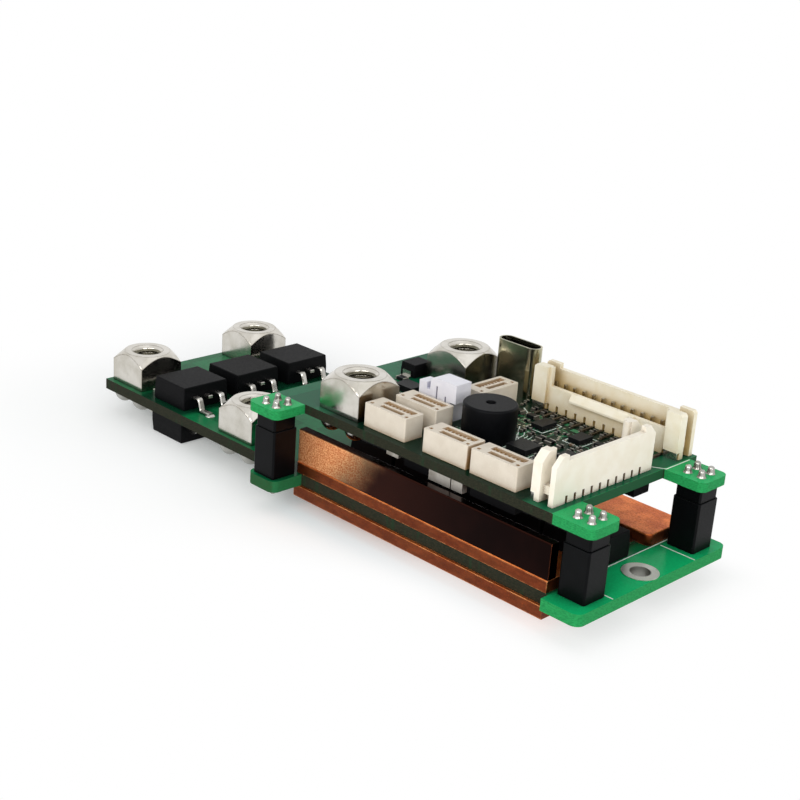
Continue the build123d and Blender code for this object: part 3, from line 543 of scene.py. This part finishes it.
def floor_finish():
    """A matt floor; a painted shadow beside the copper bars darkens it there and takes out the orange that
    they throw on it.
    """
    made = Finish("floor", roughness=0.9, specular=0.2)
    x, y = made.axis("x"), made.axis("y")
    plain = made.mix(made.noise(floor_cloud), *floor_tones)
    under_bars = made.both(made.span(y, *under_bars_front), made.span(x, *under_bars_left))
    under_bars = made.both(under_bars, made.span(x, *under_bars_right, 1.0, 0.0))
    made.colour(made.mix(under_bars, plain, under_bars_shadow_tint))
    lift = made.node("ShaderNodeEmission", lift_colour, lift_strength)
    near = made.node("ShaderNodeAddShader", made.shader.outputs[0], lift.outputs[0])
    pure = made.node("ShaderNodeEmission", WHITE, 1.0)

    def beyond(along, half):
        """The square of how far the floor's point lies outside the object's reach along one axis."""
        past = made.math("SUBTRACT", made.math("ABSOLUTE", along), half)
        return made.math("POWER", made.math("MAXIMUM", past, 0.0), 2.0)

    gap = made.math("SQRT", made.math("ADD", beyond(x, cad_high.x), beyond(y, lower_half)))
    reach = made.span(x, shade_left, shade_right, shade_reach_left, shade_reach_right)
    start = made.span(x, shade_left, shade_right, shade_start_left, shade_start_right)
    shown = made.node("ShaderNodeMixShader", made.span(gap, start, reach), near.outputs[0], pure.outputs[0])
    above = made.node("ShaderNodeMixShader", seen_directly(made.tree), made.shader.outputs[0],
                      shown.outputs[0])
    clear = made.node("ShaderNodeBsdfTransparent")
    whole = made.node("ShaderNodeMixShader", made.geometry("Backfacing"), above.outputs[0], clear.outputs[0])
    feed(made.tree, made.tree.nodes["Material Output"].inputs["Surface"], whole.outputs[0])
    return made.material


floor_mesh = bpy.data.meshes.new("floor")
floor_corners = [(x, y, floor_level) for x, y in ((-floor_half, -floor_half), (floor_half, -floor_half),
                                                  (floor_half, floor_half), (-floor_half, floor_half))]
floor_mesh.from_pydata(floor_corners, [], [(0, 1, 2, 3)])
floor_mesh.materials.append(floor_finish())
floor = bpy.data.objects.new("floor", floor_mesh)
bpy.context.scene.collection.objects.link(floor)


# Soft edges on the moulded and rolled parts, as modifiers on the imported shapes

def soften(obj, width, segments=2):
    """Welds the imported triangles, joins them to flat faces, and rounds the edges between those."""
    weld = obj.modifiers.new("weld", "WELD")
    weld.merge_threshold = 0.002 * MM
    join = obj.modifiers.new("join", "DECIMATE")
    join.decimate_type = "DISSOLVE"
    join.angle_limit = math.radians(1)
    bevel = obj.modifiers.new("bevel", "BEVEL")
    bevel.width = width
    bevel.segments = segments
    bevel.limit_method = "ANGLE"
    bevel.angle_limit = math.radians(35)
    bevel.harden_normals = True


header_soft = 0.1 * MM
for name, obj in nodes.items():
    if "transistor" in name and "bod" in name:
        soften(obj, 0.18 * MM)
    elif name.startswith("small_connector_") and name[-1].isdigit():
        soften(obj, 0.12 * MM)
    elif name in ("rear_header_housing", "side_header_housing"):
        soften(obj, header_soft)
    elif name.startswith(terminal_starts):
        soften(obj, 0.05 * MM, segments=1)
    elif name in ("white_connector_housing", "buzzer", "diode_body"):
        soften(obj, 0.12 * MM)
    elif name.startswith(("pillar_socket", "pillar_header")):
        soften(obj, 0.1 * MM, segments=1)
    elif "copper" in name:
        soften(obj, 0.06 * MM, segments=1)


# The rear header with nearly square ends: its shape again, with the end chamfers drawn in

end_chamfer = 1.5 * MM
end_chamfer_left = 0.4 * MM
same_place = 0.02 * MM
rear_low, rear_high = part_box("rear_header_housing")


def same(first, second):
    return abs(first - second) < same_place


square = nodes["rear_header_housing"].data.copy()
for vert in square.vertices:
    for end, inward in ((rear_low.x, 1), (rear_high.x, -1)):
        if same(vert.co.x, end) and same(vert.co.z, rear_high.z - end_chamfer):
            vert.co.z = rear_high.z - end_chamfer_left
        elif same(vert.co.x, end + inward * end_chamfer) and same(vert.co.z, rear_high.z):
            vert.co.x = end + inward * end_chamfer_left
square.name = "rear_header_square"
rear_header = bpy.data.objects.new("rear_header_square", square)
bpy.context.scene.collection.objects.link(rear_header)
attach(rear_header, "root")
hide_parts("rear_header_housing")
soften(rear_header, header_soft)


# Mesh tools for the added pieces

smooth_to = math.radians(38)


def finish_piece(bm, name, material, smooth=True):
    bmesh.ops.recalc_face_normals(bm, faces=bm.faces)
    mesh = bpy.data.meshes.new(name)
    bm.to_mesh(mesh)
    bm.free()
    mesh.materials.append(material)
    if smooth:
        mesh.shade_smooth()
        mesh.set_sharp_from_angle(angle=smooth_to)
    obj = bpy.data.objects.new(name, mesh)
    bpy.context.scene.collection.objects.link(obj)
    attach(obj, "root")
    return obj


def lathe(bm, x, y, profile, sides=16):
    """A closed turned shape at x, y: profile is (radius, height) from foot to tip, the tip on the axis."""
    rings = []
    for radius, height in profile:
        if radius <= 0:
            rings.append([bm.verts.new((x, y, height))])
        else:
            rings.append([
                bm.verts.new((x + radius * math.cos(a), y + radius * math.sin(a), height))
                for a in (2 * math.pi * i / sides for i in range(sides))
            ])
    bm.faces.new(rings[0])
    for low, high in zip(rings, rings[1:]):
        for i in range(sides):
            j = (i + 1) % sides
            if len(high) == 1:
                bm.faces.new((low[i], low[j], high[0]))
            else:
                bm.faces.new((low[i], low[j], high[j], high[i]))


def skin(bm, rings):
    """Faces from each ring of corners to the next, and one over each end."""
    bm.faces.new(rings[0])
    bm.faces.new(rings[-1])
    for a, b in zip(rings, rings[1:]):
        for i in range(len(a)):
            j = (i + 1) % len(a)
            bm.faces.new((a[i], a[j], b[j], b[i]))


def block(bm, low, high, soft=0.0):
    """A box from its lowest to its highest corner, with its top edges drawn in by soft."""
    x0, y0, z0 = low
    x1, y1, z1 = high
    levels = [(0.0, z0), (0.0, z1 - soft), (soft, z1)] if soft else [(0.0, z0), (0.0, z1)]
    rings = []
    for d, z in levels:
        corners = ((x0 + d, y0 + d, z), (x1 - d, y0 + d, z), (x1 - d, y1 - d, z), (x0 + d, y1 - d, z))
        rings.append([bm.verts.new(p) for p in corners])
    skin(bm, rings)


def ribbon(bm, points, width, low, rise):
    """A thin flat line through the points, on a board face at height low."""
    points = [Vector(p) for p in points]
    rings = []
    for i, point in enumerate(points):
        back = points[max(i - 1, 0)]
        ahead = points[min(i + 1, len(points) - 1)]
        along = (ahead - back).normalized()
        across = Vector((-along.y, along.x)) * width / 2
        left, right = point - across, point + across
        rings.append([
            bm.verts.new((p.x, p.y, z))
            for p, z in ((left, low), (left, low + rise), (right, low + rise), (right, low))
        ])
    skin(bm, rings)


def solids_of(name):
    """The lowest and highest corner of each separate solid of a node."""
    bm = bmesh.new()
    bm.from_mesh(nodes[name].data)
    bmesh.ops.remove_doubles(bm, verts=bm.verts, dist=0.001 * MM)
    left = set(bm.verts)
    boxes = []
    while left:
        group, front = set(), [left.pop()]
        while front:
            vert = front.pop()
            group.add(vert)
            for edge in vert.link_edges:
                other = edge.other_vert(vert)
                if other in left:
                    left.remove(other)
                    front.append(other)
        spots = [v.co for v in group]
        boxes.append((
            Vector([min(p[i] for p in spots) for i in range(3)]),
            Vector([max(p[i] for p in spots) for i in range(3)]),
        ))
    bm.free()
    return sorted(boxes, key=lambda b: (round(b[0].x, 5), round(b[0].y, 5), round(b[0].z, 5)))


# Solder drops on the pillar pins, above the control board and below the power board

pin_pitch = 2.54 * MM
pin_points = [
    (c.x + i * pin_pitch / 2, c.y + j * pin_pitch / 2)
    for c in (centre_of(f"pillar_header_base_{k}") for k in (1, 2, 3, 4))
    for i in (-1, 1) for j in (-1, 1)
]
drop_profile = [(0.74, 0.0), (0.65, 0.14), (0.59, 0.38), (0.55, 0.62), (0.51, 0.86), (0.46, 1.05),
                (0.32, 1.18), (0.16, 1.24), (0, 1.26)]
drop_sizes = (0.97, 1.06)
tail_share = 0.92

drops = bmesh.new()
for x, y in pin_points:
    size = rng.uniform(*drop_sizes)
    lathe(drops, x, y, [(r * size * MM, upper_top + h * MM) for r, h in drop_profile])
finish_piece(drops, "pin_solder_top", solder_metal)

tails = bmesh.new()
for x, y in pin_points:
    lathe(tails, x, y, [(r * MM, lower_bottom - h * tail_share * MM) for r, h in drop_profile])
finish_piece(tails, "tail_solder_below", solder_metal)


# Solder domes on the terminals' pins, in place of the plain cones, with a profile in shares of their size

dome_profile = [(1.0, 0.0), (0.97, 0.22), (0.90, 0.45), (0.78, 0.66), (0.62, 0.83), (0.42, 0.95),
                (0.2, 0.99), (0, 1.0)]
dome_spread = 1.3
dome_sizes = (0.95, 1.0)

domes = bmesh.new()
for low, high in solids_of("terminal_solder"):
    middle = (low + high) / 2
    reach = (high.x - low.x) / 2 * dome_spread
    size = rng.uniform(*dome_sizes)
    profile = [(reach * r * size, high.z - (high.z - low.z) * h * size) for r, h in dome_profile]
    lathe(domes, middle.x, middle.y, profile)
dome_piece = finish_piece(domes, "terminal_solder_domes", solder_metal)
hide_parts("terminal_solder")


# Threads in the terminals

thread_radius = 2.5 * MM
thread_crest = 2.2 * MM
thread_pitch = 0.8 * MM
thread_depth = 5.4 * MM
thread_start = 0.3 * MM
thread_steps = 40
mouth_depth = 0.5 * MM
thread_section = ((thread_radius, 0.0), (thread_crest, 0.30 * MM), (thread_crest, 0.44 * MM),
                  (thread_radius, 0.76 * MM))


def add_thread(bm, middle, top):
    """One helical thread down a bore, flared in the countersunk mouth."""
    turns = int((thread_depth - thread_start) / thread_pitch)
    previous = None
    for k in range(turns * thread_steps + 1):
        angle = 2 * math.pi * k / thread_steps
        depth = thread_start + thread_pitch * k / thread_steps
        flare = max(0.0, mouth_depth - depth)
        section = [
            bm.verts.new((middle.x + (r + flare) * math.cos(angle), middle.y + (r + flare) * math.sin(angle),
                          top - depth - down))
            for r, down in thread_section
        ]
        if previous:
            for i in range(len(section) - 1):
                bm.faces.new((previous[i], section[i], section[i + 1], previous[i + 1]))
        previous = section


threads = bmesh.new()
for name in sorted(n for n in nodes if n.startswith(terminal_starts)):
    add_thread(threads, centre_of(name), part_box(name)[1].z)
finish_piece(threads, "terminal_threads", tin_thread_shaded)


# Rounded S-shaped leads on the three transistors at the left end, in place of bent strips, and their solder

lead_width = 1.2 * MM
lead_thickness = 0.58 * MM
lead_round = 0.2 * MM
lead_level = 1.35 * MM
lead_drop = 0.95 * MM
lead_steps = 12
tab_longer_than, tab_soft = 6 * MM, 0.1 * MM
stub_above, stub_soft = 0.5 * MM, 0.12 * MM
fillet_back = 0.35 * MM
fillet_radius, fillet_height = 0.95 * MM, 0.42 * MM
fillet_profile = [(1.0, 0.0), (0.92, 0.35), (0.70, 0.70), (0.35, 0.94), (0, 1.0)]


def bent_lead(bm, low, high):
    """A rounded lead from the package at low.x, level at first and then down to its foot at high.x."""
    middle_y = (low.y + high.y) / 2
    top, foot = high.z - lead_thickness / 2, low.z + lead_thickness / 2
    path = [(low.x, top)]
    for i in range(lead_steps + 1):
        share = i / lead_steps
        fall = share * share * (3 - 2 * share)
        path.append((low.x + lead_level + lead_drop * share, top - (top - foot) * fall))
    path.append((high.x, foot))
    wide, thick = lead_width / 2, lead_thickness / 2
    flat, tall = wide - lead_round, thick - lead_round
    corners = [(-wide, -tall), (-wide, tall), (-flat, thick), (flat, thick), (wide, tall), (wide, -tall),
               (flat, -thick), (-flat, -thick)]
    rings = []
    for i, (x, z) in enumerate(path):
        x0, z0 = path[max(i - 1, 0)]
        x1, z1 = path[min(i + 1, len(path) - 1)]
        along = Vector((x1 - x0, z1 - z0)).normalized()
        rings.append([bm.verts.new((x - along.y * t, middle_y + w, z + along.x * t)) for w, t in corners])
    skin(bm, rings)


fillets = bmesh.new()
for k in (1, 2, 3):
    name = f"left_transistor_metal_{k}"
    metal = bmesh.new()
    for low, high in solids_of(name):
        if high.x - low.x > tab_longer_than:
            block(metal, low, high, tab_soft)
        elif low.z > lower_top + stub_above:
            block(metal, low, high, stub_soft)
        else:
            bent_lead(metal, low, high)
            profile = [(r * fillet_radius, lower_top + h * fillet_height) for r, h in fillet_profile]
            lathe(fillets, high.x - fillet_back, (low.y + high.y) / 2, profile)
    piece = finish_piece(metal, f"left_transistor_leads_{k}", tin_lead)
    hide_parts(name)
finish_piece(fillets, "lead_solder", solder_metal)


# Metal ends on the small chip parts, and their solder pads

cap_reach = 0.26 * MM
cap_proud = 0.02 * MM
cap_soft = 0.05 * MM
pad_out = 0.22 * MM
pad_rise = 0.05 * MM

caps = bmesh.new()
pads = bmesh.new()


def end_caps(low, high):
    """A metal cap and a pad at both ends of a small part's longer side."""
    i = 1 if high.y - low.y > high.x - low.x else 0
    for side in (-1, 1):
        a, b = Vector(low), Vector(high)
        if side < 0:
            b[i] = low[i] + cap_reach
            a[i] = low[i] - cap_proud
        else:
            a[i] = high[i] - cap_reach
            b[i] = high[i] + cap_proud
        a[1 - i] -= cap_proud
        b[1 - i] += cap_proud
        b.z += cap_proud
        block(caps, a, b, cap_soft)
        a[i] -= pad_out
        b[i] += pad_out
        a.z, b.z = upper_top, upper_top + pad_rise
        block(pads, a, b)


for low, high in solids_of("small_chip_parts"):
    end_caps(low, high)


# More small parts, packed between what stands on the control board; their sizes and places are in mm

header_leads_reach = 3.2 * MM
standing_from = upper_top + 0.2 * MM
part_margin = 0.32 * MM
part_soft = 0.04 * MM
part_grid = 0.5
row_x, row_places = 32.8, (-5.4, -3.6, -1.9, -0.2, 1.5)
row_length, row_width, row_rise = 1.6, 0.84, 0.5
row_margin = 0.1 * MM
part_sizes = [(1.6, 0.8, 0.45), (1.0, 0.5, 0.35), (1.0, 0.5, 0.35), (2.0, 1.25, 0.6)]
part_fields = [((19.5, 44.5), (-12.8, 9.6), 260), ((-2.5, 12.5), (-7.5, 6.5), 34),
               ((18.5, 22.0), (9.0, 16.5), 8)]
turned_share, tan_share = 0.5, 0.35

taken_apart = ("small_chip_parts", "control_chips")
not_standing = taken_apart + ("upper_board", "lower_board", "pillar_pins", "small_connector_contacts")
taken = [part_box(n) for n in nodes if n not in not_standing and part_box(n)[1].z > standing_from]
for name in taken_apart:
    taken += solids_of(name)
taken.append((Vector((rear_low.x, rear_low.y - header_leads_reach, 0)), rear_high))

dark_parts = bmesh.new()
tan_parts = bmesh.new()


def is_free(x, y, half_x, half_y, margin):
    return all(
        x + half_x + margin < low.x or x - half_x - margin > high.x
        or y + half_y + margin < low.y or y - half_y - margin > high.y
        for low, high in taken
    )


def add_part(bm, x, y, half_x, half_y, rise):
    low = Vector((x - half_x, y - half_y, upper_top))
    high = Vector((x + half_x, y + half_y, upper_top + rise))
    taken.append((low, high))
    block(bm, low, high, part_soft)
    end_caps(low, high)


for y in row_places:
    spot = (row_x * MM, y * MM, row_length / 2 * MM, row_width / 2 * MM)
    if is_free(*spot, row_margin):
        add_part(dark_parts, *spot, row_rise * MM)
for (x0, x1), (y0, y1), tries in part_fields:
    for _ in range(tries):
        length, width, rise = rng.choice(part_sizes)
        if rng.random() < turned_share:
            length, width = width, length
        x = round(rng.uniform(x0, x1) / part_grid) * part_grid * MM
        y = round(rng.uniform(y0, y1) / part_grid) * part_grid * MM
        spot = (x, y, length / 2 * MM, width / 2 * MM)
        if is_free(*spot, part_margin):
            add_part(tan_parts if rng.random() < tan_share else dark_parts, *spot, rise * MM)
finish_piece(dark_parts, "dark_chip_parts", part_grey, smooth=False)
finish_piece(tan_parts, "tan_chip_parts", part_tan, smooth=False)
finish_piece(caps, "chip_part_ends", part_end, smooth=False)
finish_piece(pads, "solder_pads", solder_metal, smooth=False)


# Leads of the two large headers on the board

header_lead_half = 0.2 * MM
header_lead_low, header_lead_high = upper_top + 0.06 * MM, upper_top + 0.36 * MM
header_lead_soft = 0.06 * MM
header_lead_inside = 0.3 * MM
rear_lead_reach, side_lead_reach = header_leads_reach - 0.5 * MM, 1.9 * MM
header_pad_high = upper_top + 0.08 * MM
rear_pad_half, side_pad_half = 0.36 * MM, 0.42 * MM
rear_pad_past, side_pad_past = 0.35 * MM, 0.3 * MM
rear_pad_from, side_pad_from = 0.6 * MM, 0.5 * MM
side_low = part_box("side_header_housing")[0]

header_leads = bmesh.new()
header_pads = bmesh.new()
for low, high in solids_of("rear_header_pins"):
    x = (low.x + high.x) / 2
    block(header_leads, (x - header_lead_half, rear_low.y - rear_lead_reach, header_lead_low),
          (x + header_lead_half, rear_low.y + header_lead_inside, header_lead_high), header_lead_soft)
    block(header_pads, (x - rear_pad_half, rear_low.y - rear_lead_reach - rear_pad_past, upper_top),
          (x + rear_pad_half, rear_low.y - rear_pad_from, header_pad_high))
for low, high in solids_of("side_header_pins"):
    y = (low.y + high.y) / 2
    block(header_leads, (side_low.x - side_lead_reach, y - header_lead_half, header_lead_low),
          (side_low.x + header_lead_inside, y + header_lead_half, header_lead_high), header_lead_soft)
    block(header_pads, (side_low.x - side_lead_reach - side_pad_past, y - side_pad_half, upper_top),
          (side_low.x - side_pad_from, y + side_pad_half, header_pad_high))
finish_piece(header_leads, "header_leads", lead_shaded, smooth=False)
finish_piece(header_pads, "header_pads", solder_metal, smooth=False)


# Leads of the chips

chip_lead_pitch = 0.65 * MM
chip_lead_end_room = 0.5 * MM
chip_lead_inside, chip_lead_outside = 0.1 * MM, 0.42 * MM
chip_lead_half, chip_lead_rise = 0.13 * MM, 0.14 * MM

chip_leads = bmesh.new()
for low, high in solids_of("control_chips"):
    count = int((high.y - low.y - chip_lead_end_room) / chip_lead_pitch) + 1
    for side, edge_x in ((-1, low.x), (1, high.x)):
        a, b = sorted((edge_x - side * chip_lead_inside, edge_x + side * chip_lead_outside))
        for i in range(count):
            y = (low.y + high.y) / 2 + (i - (count - 1) / 2) * chip_lead_pitch
            block(chip_leads, (a, y - chip_lead_half, upper_top),
                  (b, y + chip_lead_half, upper_top + chip_lead_rise))
finish_piece(chip_leads, "chip_leads", tin_lead, smooth=False)


# Traces, vias and brighter green spots on the control board; their places are in mm

trace_count = 90
trace_field = ((20, 42), (-12, 9.5))
trace_runs, trace_jogs = (0.8, 2.6), (0.4, 1.2)
trace_rise = 0.022 * MM
trace_widths = (0.18, 0.24)
via_radius, via_rise = 0.26 * MM, 0.03 * MM
green_spots = (((24.7, 9.9), (26.0, 9.9)), ((32.0, 9.7), (33.5, 9.7)), ((29.3, 10.9), (30.5, 10.9)),
              ((22.4, 8.4), (23.4, 7.6)))
green_spot_width = 1.1 * MM

traces = bmesh.new()
vias = bmesh.new()
via_profile = [(via_radius, upper_top), (via_radius, upper_top + via_rise), (0, upper_top + via_rise)]
for _ in range(trace_count):
    x, y = (rng.uniform(*field) * MM for field in trace_field)
    run, jog = rng.uniform(*trace_runs) * MM, rng.uniform(*trace_jogs) * MM
    sign_x, sign_y = rng.choice((-1, 1)), rng.choice((-1, 1))
    if rng.random() < 0.5:
        steps = [(0, 0), (run, 0), (run + jog, jog), (run + jog, jog + run)]
    else:
        steps = [(0, 0), (0, run), (jog, run + jog), (jog + run, run + jog)]
    points = [(x + sign_x * dx, y + sign_y * dy) for dx, dy in steps]
    ribbon(traces, points, rng.choice(trace_widths) * MM, upper_top, trace_rise)
    for end_x, end_y in (points[0], points[-1]):
        lathe(vias, end_x, end_y, via_profile, sides=8)
for start, end in green_spots:
    ribbon(traces, [Vector(start) * MM, Vector(end) * MM], green_spot_width, upper_top, trace_rise)
finish_piece(traces, "board_traces", trace_green, smooth=False)
finish_piece(vias, "board_vias", solder_metal, smooth=False)


# White printed lines and outlines; the lines' places are in mm

print_rise = 0.03 * MM
print_width = 0.2 * MM
lower_lines = (((52.35, -4.8), (52.35, 11.1)), ((52.9, 8.25), (59.4, 8.25)), ((57.6, -12.6), (59.3, -12.6)))
upper_lines = (((51.6, 15.2), (51.6, 8.9), (49.6, 7.6)), ((20.6, 10.9), (23.2, 9.2)),
               ((25.9, 3.6), (28.2, 0.4), (30.2, -3.0)))
frame_margin, frame_width = 0.62 * MM, 0.16 * MM
ring_margin, ring_width, ring_steps = 0.45 * MM, 0.18 * MM, 48
arc_right, arc_back = 0.8 * MM, 4.2 * MM
arc_radii = (2.6 * MM, 3.3 * MM, 4.0 * MM)
arc_from, arc_step, arc_count = -50, 10, 12
arc_width = 0.16 * MM

silk = bmesh.new()
for lines, level in ((lower_lines, lower_top), (upper_lines, upper_top)):
    for points in lines:
        ribbon(silk, [Vector(p) * MM for p in points], print_width, level, print_rise)


def circle_points(x, y, radius, angles):
    return [(x + radius * math.cos(a), y + radius * math.sin(a)) for a in angles]


for low, high in solids_of("control_chips"):
    x0, y0, x1, y1 = low.x - frame_margin, low.y - frame_margin, high.x + frame_margin, high.y + frame_margin
    corners = [(x0, y0), (x1, y0), (x1, y1), (x0, y1)]
    for a, b in zip(corners, corners[1:] + corners[:1]):
        ribbon(silk, [a, b], frame_width, upper_top, print_rise)

buzzer_middle = centre_of("buzzer")
buzzer_radius = (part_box("buzzer")[1].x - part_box("buzzer")[0].x) / 2
ring_angles = [2 * math.pi * i / ring_steps for i in range(ring_steps + 1)]
ring_points = circle_points(buzzer_middle.x, buzzer_middle.y, buzzer_radius + ring_margin, ring_angles)
ribbon(silk, ring_points, ring_width, upper_top, print_rise)
arc_angles = [math.radians(arc_from + arc_step * i) for i in range(arc_count)]
for radius in arc_radii:
    arc_points = circle_points(buzzer_middle.x + arc_right, buzzer_middle.y + arc_back, radius, arc_angles)
    ribbon(silk, arc_points, arc_width, upper_top, print_rise)
finish_piece(silk, "printed_lines", silk_white, smooth=False)


# Comb ribs along the rear slot of each small connector, and bright contact tips between them

comb_front, comb_back = 0.85 * MM, 1.52 * MM
comb_left, comb_right = -2.8 * MM, 3.9 * MM
comb_pitch = 0.8 * MM
rib_half, rib_soft = 0.13 * MM, 0.05 * MM
rib_low, rib_high = 1.8 * MM, 3.5 * MM
tip_half = 0.12 * MM
tip_front, tip_back = 0.95 * MM, 1.2 * MM
tip_low, tip_high = 1.2 * MM, 3.3 * MM


def slot_block(bm, name, low, high, soft=0.0):
    """A box given in a small connector's own directions, X along its slots and Y to its contact side."""
    box_low, box_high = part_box(name)
    middle = (box_low + box_high) / 2
    turned = box_high.y - box_low.y > box_high.x - box_low.x
    spots = [(-y, x) if turned else (x, y) for x, y in ((low[0], low[1]), (high[0], high[1]))]
    xs, ys = sorted(p[0] for p in spots), sorted(p[1] for p in spots)
    block(bm, (middle.x + xs[0], middle.y + ys[0], box_low.z + low[2]),
          (middle.x + xs[1], middle.y + ys[1], box_low.z + high[2]), soft)


ribs = bmesh.new()
tips = bmesh.new()
gap_count = int((comb_right - comb_left) / comb_pitch)
for k in (1, 2, 3, 4, 5):
    name = f"small_connector_{k}"
    for i in range(gap_count + 1):
        x = (comb_left + comb_right) / 2 + (i - gap_count / 2) * comb_pitch
        slot_block(ribs, name, (x - rib_half, comb_front, rib_low), (x + rib_half, comb_back, rib_high),
                   rib_soft)
        if i < gap_count:
            x += comb_pitch / 2
            slot_block(tips, name, (x - tip_half, tip_front, tip_low), (x + tip_half, tip_back, tip_high))
finish_piece(ribs, "slot_ribs", cream_plastic, smooth=False)
finish_piece(tips, "slot_contact_tips", contact_gold, smooth=False)


# Contacts on both sides of the upright receptacle's tongue

usb_contact_count = 12
usb_contact_pitch = 0.5 * MM
usb_contact_half, usb_contact_rise = 0.12 * MM, 0.04 * MM
usb_contact_from, usb_contact_to = 3.4 * MM, 0.5 * MM
tongue_low, tongue_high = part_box("usb_tongue")

usb_contacts = bmesh.new()
for i in range(usb_contact_count):
    x = (tongue_low.x + tongue_high.x) / 2 + (i - (usb_contact_count - 1) / 2) * usb_contact_pitch
    for y, side in ((tongue_low.y, -1), (tongue_high.y, 1)):
        a, b = sorted((y, y + side * usb_contact_rise))
        block(usb_contacts, (x - usb_contact_half, a, tongue_high.z - usb_contact_from),
              (x + usb_contact_half, b, tongue_high.z - usb_contact_to))
finish_piece(usb_contacts, "usb_contacts", contact_gold, smooth=False)
